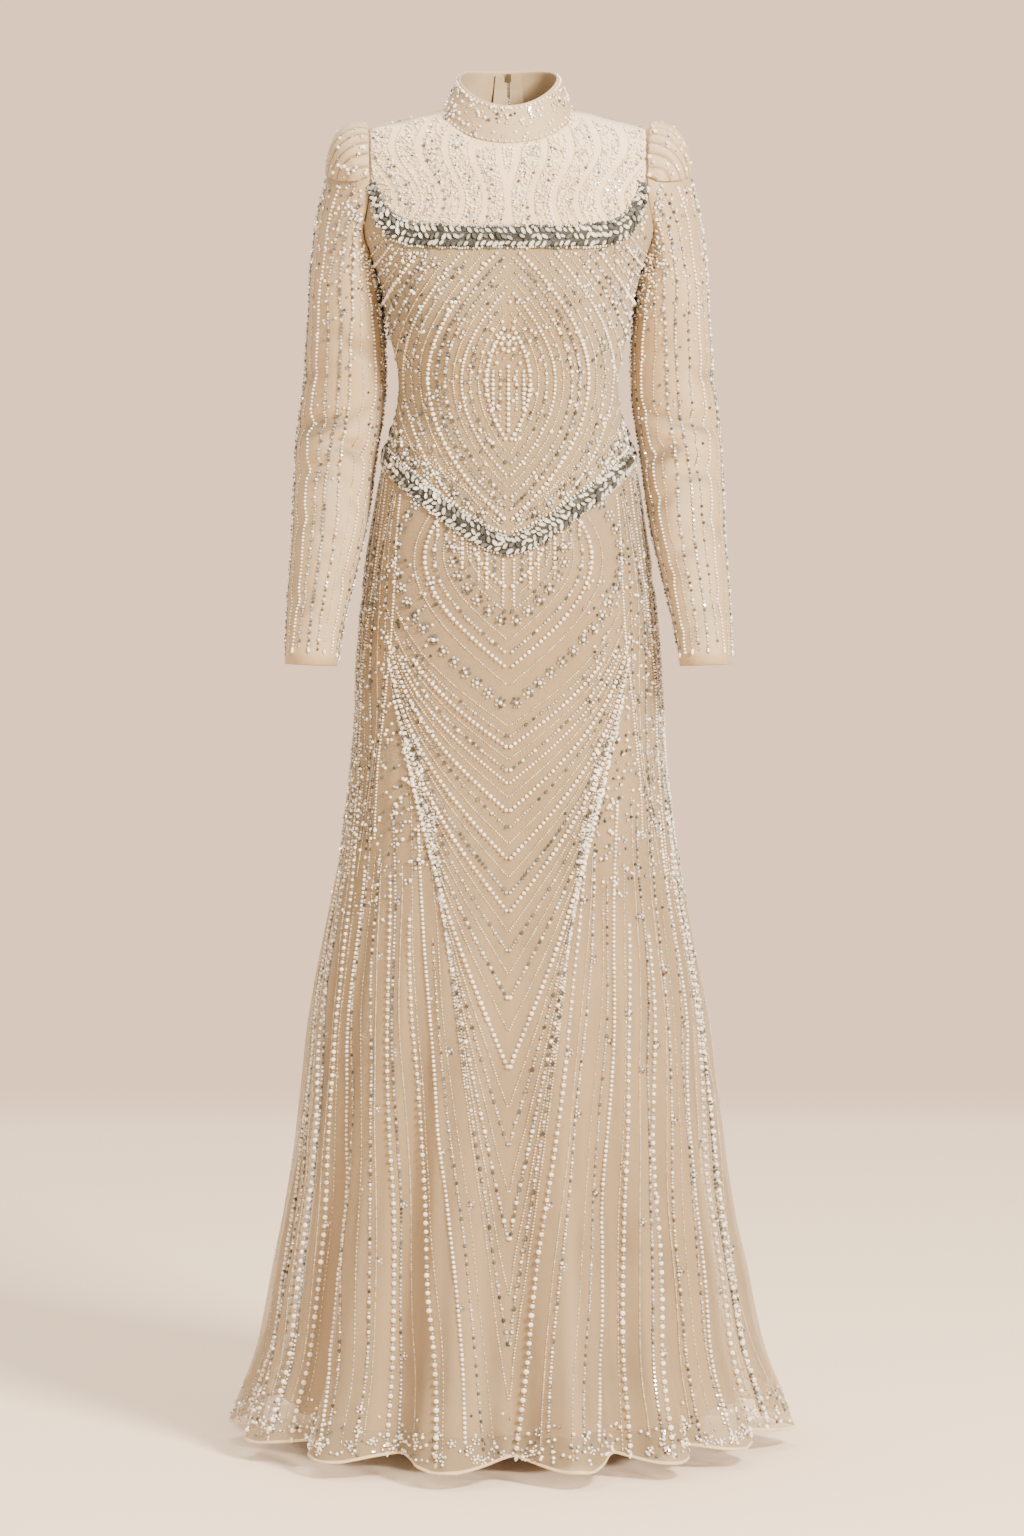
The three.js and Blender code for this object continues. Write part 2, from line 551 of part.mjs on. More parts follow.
function addSleeves() {
  const grid = (depth) =>
    SLEEVE_RUNS.map((run) =>
      SLEEVE_TURNS.map((turn) => sleevePoint(turn, run).addScaledVector(sleeveNormal(turn, run), -depth)),
    );
  const [outer, inner] = [grid(0), grid(CLOTH.sleeve)];
  for (const [name, sign] of [["left", 1], ["right", -1]])
    add(`sleeve_${name}`, wall(mirrored(outer, sign), mirrored(inner, sign), true), MATERIAL.satin);
}

// Gathered cap over the sleeve head: the sleeve's own points, moved out. Its lower edge lies level, so the cap
// narrows towards its ends; along is the share of the way over it.
function capPoint(turn, along, depth) {
  const degrees = Math.abs(turn * 360);
  const end = CAP.end * Math.sqrt(1 - (degrees / CAP.round) ** 2);
  const run = lerp(CAP.start, end, along);
  const side = degrees / CAP.reach;
  const ends = 1 - side ** 4;
  const swell = Math.sin(Math.PI * along ** 1.4) ** 0.8 * ends;
  const gather = (1 + Math.cos((CAP.gathers * Math.PI * degrees) / CAP.reach)) / 2;
  const ridge = CAP.ridge * (0.45 + 0.55 * swell) * gather * ends * smooth(1.15 - along);
  const out = CAP.lift + CLOTH.cap + CAP.puff * swell + ridge;
  return sleevePoint(turn, run).addScaledVector(sleeveNormal(turn, run), out - depth);
}

function addCaps() {
  const columnsPerGather = 4;
  const turns = between(-CAP.reach / 360, CAP.reach / 360, CAP.gathers * columnsPerGather);
  const grid = (depth) => CAP_RUNS.map((along) => turns.map((turn) => capPoint(turn, along, depth)));
  const [outer, inner] = [grid(0), grid(CLOTH.cap)];
  for (const [name, sign] of [["left", 1], ["right", -1]])
    add(`cap_${name}`, wall(mirrored(outer, sign), mirrored(inner, sign)), MATERIAL.satin);
}

// ---- stone-set bands ----------------------------------------------------------------------------------
// Ribbon along a line on the body, given as {side, u, h, width}, with a raised stone at every other point.
function ribbon(line) {
  const rows = line.map(({ side, u, h, width }, k) => {
    const place = (p, q) => body(side, clamp(p, -1, 1), Math.min(q, YOKE_RISE));
    const normal = bodyNormal(side, u, h, "outer");
    const [before, after] = [line[Math.max(k - 1, 0)], line[Math.min(k + 1, line.length - 1)]];
    const along = body(after.side, after.u, after.h).sub(body(before.side, before.u, before.h));
    const across = normal.clone().cross(along).normalize();
    const small = 1e-3;
    const stepU = place(u + small, h).sub(place(u - small, h)).multiplyScalar(0.5 / small);
    const stepH = place(u, h + 0.5).sub(place(u, h - 0.5));
    const [uu, uh, hh] = [stepU.dot(stepU), stepU.dot(stepH), stepH.dot(stepH)];
    const [bu, bh] = [across.dot(stepU), across.dot(stepH)];
    const det = uu * hh - uh * uh;
    const [du, dh] = [(bu * hh - bh * uh) / det, (bh * uu - bu * uh) / det];
    const lifted = (share, out) => {
      const p = clamp(u + (du * share * width) / 2, -BAND_END.waist, BAND_END.waist);
      const q = h + (dh * share * width) / 2;
      return place(p, q).addScaledVector(bodyNormal(side, p, q, "outer"), out);
    };
    const { gap, edge, base, stone, between: low } = BAND_HEIGHT;
    const high = (raised) => gap + base + (raised ? stone : low);
    const outer = [
      lifted(-1, gap + edge),
      lifted(-0.5, high(k % 2)),
      lifted(0.5, high((k + 1) % 2)),
      lifted(1, gap + edge),
    ];
    return { outer, inner: [-1, -0.5, 0.5, 1].map((share) => lifted(share, gap)) };
  });
  return wall(rows.map((row) => row.outer), rows.map((row) => row.inner));
}

// Points at even steps along a line on the body, from finely spaced ones.
function evenly(line, pitch) {
  const places = line.map(({ side, u, h }) => body(side, u, h));
  const lengths = [0];
  for (let k = 1; k < places.length; k += 1) lengths.push(lengths[k - 1] + places[k].distanceTo(places[k - 1]));
  const total = lengths[lengths.length - 1];
  const count = Math.round(total / pitch / 2) * 2;
  return range(count).map((share) => {
    const k = clamp(lengths.findIndex((length) => length >= share * total - 1e-6), 1, line.length - 1);
    const t = clamp((share * total - lengths[k - 1]) / (lengths[k] - lengths[k - 1]), 0, 1);
    const [a, b] = [line[k - 1], line[k]];
    const nearer = t < 0.5 ? a : b;
    if (a.side !== b.side) return nearer;
    return { side: a.side, u: lerp(a.u, b.u, t), h: lerp(a.h, b.h, t), width: lerp(a.width, b.width, t) };
  });
}

function addBands() {
  const { neck: neckEnd, waist: side, middle } = BAND_END;
  const neck = between(-neckEnd, neckEnd, BAND.samples).map((u) => {
    const h = necklineHeight(u);
    const risen = clamp((BAND.narrowing * (h - necklineHeight(0))) / NECKLINE.rise, 0, 1);
    return { side: -1, u, h, width: lerp(BAND.neckWidth, BAND.neckEnd, risen) };
  });
  add("neckline_band", ribbon(evenly(neck, BAND.pitch)), MATERIAL.stones);
  const width = BAND.waistWidth;
  const piece = (face, low, high) => {
    const shares = between(low, high, BAND.samples);
    return ribbon(evenly(shares.map((u) => ({ side: face, u, h: waistHeight(face, u), width })), BAND.pitch));
  };
  add("waist_band_front", piece(-1, -side, side), MATERIAL.stones);
  add("waist_band_back_left", piece(1, middle, side), MATERIAL.stones);
  add("waist_band_back_right", piece(1, -side, -middle), MATERIAL.stones);
}

// ---- centre-back zip ----------------------------------------------------------------------------------
const TAPE_HEIGHTS = [-540, -500, -460, -430, -405, -375, -340, -300, -250, -200, -150, -110, -70, -40, -20, -8];
const TAPE_ON_COLLAR = [
  { up: 0.04, inset: 7.5 },
  { up: 0.5, inset: 4.6 },
  { up: 0.92, inset: 4.6 },
];

// Tape behind the left back's edge, from below the waist up to the collar's top.
function addTapes() {
  const inwards = (point, by) => new THREE.Vector3(Math.abs(point.x), point.y - by, point.z);
  const grid = (thick) => {
    const low = TAPE_HEIGHTS.map((z) =>
      [TAPE.from, TAPE.from + TAPE.width].map((x) => {
        const [deep, shallow] = TAPE.step;
        const inset = lerp(TAPE.skirt, TAPE.bodice, smooth((z - deep) / (shallow - deep))) + thick;
        const u = x / QUARTER;
        const h = heightOn(1, u, () => z);
        return body(1, u, h).addScaledVector(bodyNormal(1, u, h), -inset);
      }),
    );
    const high = TAPE_ON_COLLAR.map(({ up, inset }) =>
      [TAPE.from, TAPE.from + TAPE.width].map((x) => inwards(collarPoint(x / COLLAR.round, up), inset + thick)),
    );
    return [...low, ...high];
  };
  const [outer, inner] = [grid(0), grid(CLOTH.tape)];
  add("zip_tape_left", wall(outer, inner), MATERIAL.satin);
  add("zip_tape_right", wall(mirrored(outer, -1), mirrored(inner, -1)), MATERIAL.satin);
}

// Frame at the top of the zip: x across, y away from the collar, z up along it.
function atSlider(geometry) {
  const origin = collarPoint(0, SLIDER.up);
  const up = collarPoint(0, 1).sub(collarPoint(0, 0.7)).setX(0).normalize();
  const out = new THREE.Vector3(0, up.z, -up.y);
  const matrix = new THREE.Matrix4().makeBasis(new THREE.Vector3(1, 0, 0), out, up);
  return geometry.applyMatrix4(matrix.setPosition(0, origin.y, origin.z));
}

const rectangle = (target, [x0, y0], [x1, y1]) =>
  target.moveTo(x0, y0).lineTo(x1, y0).lineTo(x1, y1).lineTo(x0, y1).closePath();

const wasm = await Module();
wasm.setup();

function joined(geometries) {
  const solids = geometries.map((geometry) => {
    const bare = new THREE.BufferGeometry().setAttribute("position", geometry.getAttribute("position"));
    const merged = mergeVertices(bare.setIndex(geometry.getIndex()), 1e-4);
    const corners = new Uint32Array(merged.getIndex().array);
    const points = merged.getAttribute("position").array;
    return new wasm.Manifold(new wasm.Mesh({ numProp: 3, vertProperties: points, triVerts: corners }));
  });
  const mesh = wasm.Manifold.union(solids).getMesh();
  const geometry = new THREE.BufferGeometry();
  geometry.setAttribute("position", new THREE.Float32BufferAttribute(mesh.vertProperties, 3));
  geometry.setIndex([...mesh.triVerts]);
  geometry.computeVertexNormals();
  return geometry;
}

// Slider: a body behind the tapes, a neck through the opening and an eye outside; the pull hangs in the eye.
function addSliderAndPull() {
  const { depth, bar, eye, rim, out } = SLIDER;
  const behind = SLIDER_BODY;
  const reach = out + eye / 2 + rim;
  const high = eye / 2 + rim;
  const neck = new THREE.Shape();
  rectangle(neck, [-depth + behind.thick / 2, -high], [reach, high]);
  neck.holes.push(rectangle(new THREE.Path(), [out - eye / 2, -eye / 2], [out + eye / 2, eye / 2]));
  const plate = new THREE.ExtrudeGeometry(neck, { depth: bar, bevelEnabled: false });
  const stood = new THREE.Matrix4().makeBasis(
    new THREE.Vector3(0, 1, 0),
    new THREE.Vector3(0, 0, 1),
    new THREE.Vector3(1, 0, 0),
  );
  plate.applyMatrix4(stood).translate(-bar / 2, 0, 0);
  const block = new THREE.BoxGeometry(behind.width, behind.thick, behind.tall).toNonIndexed();
  block.translate(0, -depth + behind.thick / 2, 0);
  add("zip_slider", atSlider(joined([plate, block])), MATERIAL.metal);
  const tab = new THREE.Shape();
  const [half, foot] = [PULL.width / 2, PULL.foot / 2];
  const waist = -PULL.length * PULL.taper;
  tab.moveTo(-half, PULL.top / 2).lineTo(half, PULL.top / 2).lineTo(half, waist);
  tab.lineTo(foot, -PULL.length).lineTo(-foot, -PULL.length).lineTo(-half, waist).closePath();
  const [wide, tall] = PULL.window;
  tab.holes.push(rectangle(new THREE.Path(), [-wide / 2, -PULL.top / 2 - tall], [wide / 2, -PULL.top / 2]));
  const leaf = new THREE.ExtrudeGeometry(tab, { depth: PULL.thick, bevelEnabled: false });
  leaf.translate(0, 0, -PULL.thick / 2).rotateX(Math.PI / 2).translate(0, out, 0);
  add("zip_pull", atSlider(leaf), MATERIAL.metal);
}

addYoke();
addBodiceFront();
addBack();
addSkirt();
addUnderskirt();
addCollar();
addSleeves();
addCaps();
addBands();
addTapes();
addSliderAndPull();

export default gown;
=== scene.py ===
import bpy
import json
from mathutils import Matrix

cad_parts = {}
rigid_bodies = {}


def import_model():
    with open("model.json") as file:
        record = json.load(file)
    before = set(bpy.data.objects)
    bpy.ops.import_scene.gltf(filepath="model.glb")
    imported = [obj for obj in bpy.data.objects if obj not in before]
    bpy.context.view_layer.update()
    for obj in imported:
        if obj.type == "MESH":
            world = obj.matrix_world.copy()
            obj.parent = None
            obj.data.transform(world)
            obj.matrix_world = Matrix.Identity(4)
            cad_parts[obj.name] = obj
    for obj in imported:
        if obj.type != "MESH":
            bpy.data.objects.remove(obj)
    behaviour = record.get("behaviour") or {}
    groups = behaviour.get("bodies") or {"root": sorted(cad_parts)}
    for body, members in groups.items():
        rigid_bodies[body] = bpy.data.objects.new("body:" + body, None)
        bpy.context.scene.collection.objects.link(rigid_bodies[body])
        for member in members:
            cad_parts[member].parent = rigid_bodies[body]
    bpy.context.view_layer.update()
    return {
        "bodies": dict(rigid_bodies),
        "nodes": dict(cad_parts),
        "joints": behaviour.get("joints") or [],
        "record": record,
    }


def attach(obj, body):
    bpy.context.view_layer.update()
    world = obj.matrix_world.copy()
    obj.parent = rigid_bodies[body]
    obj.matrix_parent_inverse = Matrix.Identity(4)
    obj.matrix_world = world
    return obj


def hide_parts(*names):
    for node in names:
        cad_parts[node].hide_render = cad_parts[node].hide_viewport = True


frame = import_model()

import json
import math

import bmesh
import bpy
import numpy as np
from bpy.props import FloatProperty, FloatVectorProperty, IntProperty, PointerProperty
from mathutils import Vector

bl_info = {
    "name": "Beaded Evening Gown",
    "version": (1, 0, 0),
    "blender": (4, 5, 0),
    "location": "View3D > Sidebar > Gown",
    "description": "Dresses the packed gown in net, satin, pearls and stones",
    "category": "Add Mesh",
}

GOWN = "gown"  # the body that everything but the zip's pull rides on
MM = 0.001

# ---- cut of the gown, in millimetres, the same as its solids ----------------------------------------------
LENGTH = 1470
UNDERARM = -168
YOKE_RISE = 154
HEM = -LENGTH - UNDERARM
NECK = {"half_width": 70, "side": 8, "front_drop": 27, "back_drop": 6, "share": 0.5, "gap": 0.4}
SHOULDER = {"x": 154, "z": UNDERARM + YOKE_RISE, "round": 75, "power": 2.2, "neck_slope": 0.4}
NECKLINE = {"low": -119, "rise": 57, "x": 151, "power": 12}
WAISTLINE = {-1: {"tip": -465, "slope": 0.758, "round": 20}, 1: {"tip": -412, "slope": 0.348, "round": 20}}
BUST = {"z": -204, "x": 68, "tall": 58, "wide": 46, "out": 11}
UNDERSKIRT = {
    "inset": 4.2, "hem_rise": 30, "shrink": 40, "from": -820, "flutes": 0.4, "drape": 0.9, "turned": 3,
}
FLUTE = {"from": -760, "depth": 26, "growth": 1.8, "power": 1.4, "hem_lift": 9, "roll": 3.2}
PRINCESS_SEAM = 0.55
SEAM = 0.2  # half the gap between two pieces
OPENING = 1.3  # half the gap at the zip
QUARTER = 190  # rough length round a quarter of the body
SEAM_SHARE = SEAM / QUARTER
OPENING_SHARE = OPENING / QUARTER

BODY = {
    "z": [-1470, -1430, -1375, -1297, -1195, -1128, -1060, -993, -925, -860, -793, -701, -610, -542, -497,
          -452, -407, -362, -330, -300, -272, -250, -227, -205, -188, -168, -158, -146, -130, -117, -100,
          -60, -28, 10],
    "w": [299, 286, 268, 255, 238, 231, 224, 217, 205, 192, 182, 172.5, 168, 162, 156.5, 149.5, 142,
          133, 124.5, 121.5, 125, 130.5, 136.5, 139.5, 142, 148, 153, 158, 166.5, 172, 175, 178, 180, 182],
    "f": [306, 282, 252, 224, 196, 182, 168, 155, 140, 127, 118, 110, 107, 106, 104, 101, 97,
          94, 92, 93, 96, 100, 105, 108, 109, 109, 108, 107, 105, 103, 99, 88, 77, 64],
    "b": [312, 290, 264, 240, 212, 198, 184, 171, 157, 145, 137, 132, 131, 125, 115, 104, 94,
          86, 82, 82, 85, 88, 92, 95, 97, 98, 98, 98, 97, 95, 92, 82, 68, 54],
    "n": [2.0, 2.0, 2.0, 2.05, 2.1, 2.1, 2.1, 2.1, 2.15, 2.15, 2.2, 2.2, 2.2, 2.25, 2.25, 2.3, 2.3,
          2.3, 2.3, 2.3, 2.3, 2.35, 2.4, 2.4, 2.45, 2.5, 2.5, 2.5, 2.5, 2.5, 2.5, 2.5, 2.5, 2.5],
}
ARMHOLE = {"t": [0, 0.14, 0.25, 0.34, 0.45, 0.62, 1], "x": [148, 154, 159.5, 160.5, 157, 153.5, 154]}
FLUTES = {
    "at": [-170, -148, -127, -106, -88, -66, -40, -13, 15, 36, 56, 82, 104, 126, 147, 169],
    "high": [0.9, 0.8, 1.0, 0.7, 0.4, 0.7, 1.0, 1.15, 1.2, 0.9, 0.7, 0.8, 0.7, 1.0, 0.85, 0.9],
}
ARM = {
    "z": [-222, -250, -285, -317, -362, -407, -448, -491, -533, -575, -603],
    "x": [180.5, 180.5, 181, 183, 189.5, 194, 198, 204, 211, 216.5, 219],
    "y": [4, 7, 9, 10, 6, -5, -20, -37, -54, -70, -80],
    "rx": [41, 43.5, 45, 46, 45.5, 43.5, 41.5, 37.5, 34, 30.5, 29],
    "ry": [50, 50, 49.5, 49, 48, 45.5, 42.5, 39, 35.5, 32, 30.5],
}
ARM_UP = {name: values[::-1] for name, values in ARM.items()}
ARM_STEP = 6  # reach over which the arm's direction is taken
ARMHOLE_STEPS = [0, 6, 18, 36, 58, 82, 106, 126, 144, YOKE_RISE]
CAP = {
    "start": 0.012, "end": 0.42, "reach": 64, "round": 66.6, "gathers": 11, "ridge": 6.2, "puff": 4.6,
    "lift": 1.4,
}
CAP_TANGENT = {"out": 140, "power": 1.2, "forward": 10, "up": 20, "down": 60, "drop": 200}
COLLAR = {
    "half_width": 56, "y": -7, "half_depth": 53, "bow": 1.5, "thick": 3.0, "girth": 330,
    "faces": (0.45, 0.55),
}
COLLAR_TOP = {"middle": 37, "towards_back": 11, "sides": 6}
ZIP = {"low": -538, "high": -16, "skirt": 7.2, "bodice": 3.5, "step": [-405, -375], "proud": 0.9,
       "pitch": 1.5}
ZIP_ON_COLLAR = {"up": [0.06, 0.74], "inset": 5.2}
BAND = {"neck_width": 26, "neck_end": 13, "waist_width": 21, "gap": 0.9, "back": 1.4}

# Folds of worn cloth, in rows of z, angle, reach round in degrees, height, depth and lean in mm a degree.
# A negative depth is a ridge. A sleeve's angles go from its outer side towards the front.
# The sleeves' creases also set their satin's painted shade.
SLEEVE_CREASES = [
    (-345, 60, 75, 9, 3.2, 0.25),
    (-358, 80, 55, 7, -2.0, 0.12),
    (-372, 110, 60, 8, 3.6, -0.3),
    (-386, 85, 50, 7, -2.2, -0.1),
    (-398, 70, 70, 8, 2.6, 0.2),
    (-355, -70, 60, 9, 2.4, 0.2),
    (-330, 120, 50, 7, 1.6, 0.35),
    (-425, 120, 55, 8, 1.8, -0.35),
    (-455, 50, 60, 9, 1.5, 0.3),
    (-480, 95, 50, 7, 1.8, -0.2),
    (-510, 130, 55, 8, 1.4, 0.25),
    (-540, 60, 50, 7, 1.6, 0.15),
    (-565, 110, 60, 6, 1.2, -0.2),
    (-420, -95, 60, 9, 1.6, -0.2),
    (-500, -60, 55, 8, 1.3, 0.2),
    (-290, 30, 60, 10, 1.2, 0.3),
    (-250, 100, 55, 10, 1.4, -0.4),
    (-240, -110, 55, 10, 1.4, -0.4),
]
CREASE_GAIN = 2.8

# Soft drag lines of the bodice and hips, in the same rows, with angles from the centre front.
BODY_CREASES = [
    (-300, 70, 26, 7, 1.3, 0.5),
    (-318, -68, 28, 7, 1.4, -0.5),
    (-336, 62, 24, 6, 1.0, 0.2),
    (-285, -78, 22, 6, 1.0, -0.3),
    (-310, 130, 34, 8, 1.5, -0.3),
    (-328, -135, 36, 8, 1.5, 0.3),
    (-345, 155, 26, 7, 1.1, 0.1),
    (-150, 62, 16, 9, 1.2, 1.2),
    (-152, -62, 16, 9, 1.2, -1.2),
    (-520, 95, 30, 12, 1.4, -0.5),
    (-545, -98, 34, 12, 1.5, 0.5),
]
# Play of the cloth: height, waves round the body, slope of a wave along it, phase.
UNEVENNESS = [(0.35, 7, 41, 0.0), (0.3, 13, -23, 1.3), (0.2, 21, 13, 0.4)]
# Upright folds of the skirt, and their waves: height, waves round the body, sway, sways round it, phase.
# The drape also sets the skirt cloth's painted shade, darker in its troughs; crest is the drape's height
# where that shade is fullest.
DRAPE = {"from": -640, "run": 830, "high": 1.6, "power": 0.8, "crest": 2.7}
DRAPE_WAVES = [(1.0, 31, 0.8, 5, 0.0), (0.7, 53, 1.1, 3, 0.6)]


# ---- layout of the beadwork, in millimetres ---------------------------------------------------------------
# Chevrons of the skirt by the height of their points, arches under the waist, ovals of the bodice.
CHEVRONS = {
    "apex": [-667, -679, -691, -704, -717, -731, -746, -762, -780, -797, -815, -834, -853, -873, -894, -916,
             -940, -968, -1002, -1044, -1086, -1128, -1179, -1232, -1290, -1345, -1402],
    "style": ["seeds", "crystals", "pearls", "seeds", "mixed", "small_pearls", "seeds", "pearls",
              "crystals", "seeds", "pearls", "seeds", "glints", "pearls", "seeds", "crystals", "seeds",
              "mixed", "seeds", "pearls", "seeds", "crystals", "seeds", "mixed", "seeds", "crystals",
              "seeds"],
}
ARCHES = {
    "apex": [-500, -514, -528, -542, -556, -571, -587, -603, -622, -648],
    "wide": [30, 38, 46, 55, 63, 72, 82, 92, 104, 124],
    "style": ["seeds", "pearls", "seeds", "crystals", "flowers", "seeds", "mixed", "pearls", "seeds",
              "flowers"],
}
OVALS = {
    "count": 19, "middle": -282, "wide": 24, "step": 9.2, "tall": 70, "rise": 12.5,
    "style": ["pearls", "seeds", "crystals", "small_pearls", "seeds", "mixed", "glints"],
}
HEM_STYLES = ["bold", "seeds", "mixed", "bugles", "crystals", "pearls", "bugles", "bold", "seeds", "glints"]
HIP_STYLES = ["small_pearls", "crystals", "seeds", "glints", "sparse_seeds"]
YOKE_STYLES = ["small_pearls", "seeds", "crystals", "seeds"]
# Waved lanes of the yoke, each bare over a share of its width.
YOKE_LANES = {"count": 6, "pitch": 27, "bare": 0.34, "wave": 13, "length": 17.5, "low": -108, "high": 8}
SLEEVE_STYLES = ["mixed", "sparse_seeds", "small_pearls", "crystals", "glints"]
SLEEVE_STRINGS = 20


# ---- shape of the cloth -----------------------------------------------------------------------------------
def smooth(t):
    t = np.clip(t, 0, 1)
    return t * t * (3 - 2 * t)


def unit(vectors):
    return vectors / np.maximum(np.linalg.norm(vectors, axis=-1, keepdims=True), 1e-9)


def lengths_along(points):
    """Length of a path up to each of its points."""
    return np.concatenate([[0], np.cumsum(np.linalg.norm(np.diff(points, axis=0), axis=1))])


def sampled(at, marks, *fields):
    """Rows of fields at places between marks, one mark for each row."""
    return [np.stack([np.interp(at, marks, field[:, k]) for k in range(3)], -1) for field in fields]


def column(table, by, name, at):
    """Smooth curve through one column of a table, against another."""
    xs, ys = np.array(table[by], float), np.array(table[name], float)
    slopes = np.empty(len(xs))
    slopes[1:-1] = (ys[2:] - ys[:-2]) / (xs[2:] - xs[:-2])
    slopes[0] = (ys[1] - ys[0]) / (xs[1] - xs[0])
    slopes[-1] = (ys[-1] - ys[-2]) / (xs[-1] - xs[-2])
    at = np.asarray(at, float)
    i = np.clip(np.searchsorted(xs, at) - 1, 0, len(xs) - 2)
    span = xs[i + 1] - xs[i]
    t = np.clip((at - xs[i]) / span, 0, 1)
    bend = (t - 1) ** 2 * t * slopes[i] * span + t * t * (t - 1) * slopes[i + 1] * span
    return ys[i] + (ys[i + 1] - ys[i]) * t * t * (3 - 2 * t) + bend


def depth_column(side, z):
    return np.where(side < 0, column(BODY, "z", "f", z), column(BODY, "z", "b", z))


def yoke_depth(side, x, z):
    x = np.abs(x)
    n = column(BODY, "z", "n", z)
    across = np.maximum(0, 1 - (x / column(BODY, "z", "w", z)) ** n) ** (1 / n)
    slope = (NECK["side"] - SHOULDER["z"]) / (SHOULDER["x"] - NECK["half_width"])
    off = x - NECK["half_width"]
    ridge = NECK["side"] - np.where(off > 0, slope, SHOULDER["neck_slope"]) * off
    below = np.clip((ridge - z) / SHOULDER["round"], 0, 1)
    power = SHOULDER["power"]
    return depth_column(side, z) * across * (1 - (1 - below) ** power) ** (1 / power)


def bust(x, z):
    tall, wide = ((z - BUST["z"]) / BUST["tall"]) ** 2, ((np.abs(x) - BUST["x"]) / BUST["wide"]) ** 2
    return BUST["out"] * np.exp(-tall) * np.exp(-wide)


def flute_wave(angle):
    """Wave of the skirt's flutes: 1 on a crest, -1 in a valley."""
    at = np.array([FLUTES["at"][-1] - 360, *FLUTES["at"], FLUTES["at"][0] + 360])
    high = np.array([FLUTES["high"][-1], *FLUTES["high"], FLUTES["high"][0]])
    i = np.clip(np.searchsorted(at, angle) - 1, 0, len(at) - 2)
    t = (angle - at[i]) / (at[i + 1] - at[i])
    crest = high[i] + (high[i + 1] - high[i]) * t
    return crest * (2 * np.abs(np.cos(np.pi * t)) ** FLUTE["power"] - 1)


def body(side, u, h, layer="outer"):
    """Points of the cloth: side -1 front or 1 back, u -1 to 1 between side seams, h above the underarm."""
    side, u, h = np.broadcast_arrays(np.asarray(side, float), np.asarray(u, float), np.asarray(h, float))
    a = np.pi / 2 * u
    z = UNDERARM + np.minimum(h, 0)
    n, depth, w = column(BODY, "z", "n", z), depth_column(side, z), column(BODY, "z", "w", z)
    x_low = w * np.sign(u) * np.abs(np.sin(a)) ** (2 / n)
    y_low = side * depth * np.abs(np.cos(a)) ** (2 / n)
    low = np.clip((FLUTE["from"] - z) / (LENGTH + FLUTE["from"]), 0, 1)
    turned = np.where(u < 0, -1, 1) * (180 - 90 * np.abs(u))
    angle = np.where(side < 0, 90 * u, turned)
    out = FLUTE["depth"] * low ** FLUTE["growth"] * flute_wave(angle)
    if layer == "underskirt":
        shrink = np.clip((UNDERSKIRT["from"] - z) / (LENGTH + UNDERSKIRT["from"]), 0, 1)
        out = out * UNDERSKIRT["flutes"] - UNDERSKIRT["shrink"] * shrink
    chest = np.where(side < 0, bust(x_low, z), 0)
    lower = np.stack([x_low + out * np.sin(a), y_low + side * (out * np.cos(a) + chest), z], -1)

    t, p = np.clip(h / YOKE_RISE, 0, 1), np.abs(u)
    foot = np.abs(np.sin(np.pi / 2 * p)) ** (2 / column(BODY, "z", "n", UNDERARM))
    turn = np.pi / 2 * np.minimum(p, NECK["share"]) / NECK["share"]
    share = np.maximum(0, (p - NECK["share"]) / (1 - NECK["share"]))
    at_neck = p < NECK["share"]
    straight_x = NECK["half_width"] + (SHOULDER["x"] - NECK["half_width"]) * share
    straight_z = NECK["side"] + (SHOULDER["z"] - NECK["side"]) * share
    drop = np.where(side < 0, NECK["front_drop"], NECK["back_drop"])
    top_x = np.where(at_neck, NECK["half_width"] * np.sin(turn), straight_x)
    top_z = np.where(at_neck, NECK["side"] - drop * np.maximum(np.cos(turn), 0) ** 1.1, straight_z)
    x_high = np.sign(u) * column(ARMHOLE, "t", "x", t) * (foot + (top_x / SHOULDER["x"] - foot) * t)
    z_high = UNDERARM + (top_z - UNDERARM) * t
    chest = np.where(side < 0, bust(x_high, z_high), 0)
    upper = np.stack([x_high, side * (yoke_depth(side, x_high, z_high) + chest), z_high], -1)
    return np.where((h > 0)[..., None], upper, lower)


def hem_height(side, u):
    """Height of the net's edge, lifted a little in the valleys between flutes."""
    return HEM + FLUTE["hem_lift"] * (1 - np.clip(flute_wave(angle_of(side, u)), -1, 1)) / 2


def height_on(side, u, line):
    """Height above the underarm where a column of the body meets a line, given as height over half width."""
    u = np.asarray(u, float)
    low, high = np.full(u.shape, UNDERARM - 400.0), np.full(u.shape, float(YOKE_RISE))
    for _ in range(40):
        middle = (low + high) / 2
        point = body(side, u, middle)
        below = point[..., 2] < line(np.abs(point[..., 0]))
        low, high = np.where(below, middle, low), np.where(below, high, middle)
    return (low + high) / 2


def neckline_line(x):
    x0 = NECKLINE["x"]
    return NECKLINE["low"] + NECKLINE["rise"] * (np.minimum(np.abs(x), x0) / x0) ** NECKLINE["power"]


def neckline_height(u):
    return height_on(-1, u, neckline_line)


def waist_line(side, x):
    line = WAISTLINE[side]
    return line["tip"] - line["round"] + np.hypot(line["slope"] * x, line["round"])


def waist_height(side, u):
    return height_on(side, u, lambda x: waist_line(side, x))


def armhole_at(turn):
    """Point of the +X armhole edge at a share of the way round, from the shoulder tip down the front."""
    steps = np.array(ARMHOLE_STEPS, float)
    front, back = body(-1, 1.0, steps[::-1]), body(1, 1.0, steps)
    ring = np.concatenate([front, back[1:]])
    turns = lengths_along(ring)
    along = np.interp(turn % 1.0, turns / turns[-1], np.concatenate([steps[::-1], -steps[1:]]))
    return body(np.where(along >= 0, -1, 1), 1.0, np.abs(along))


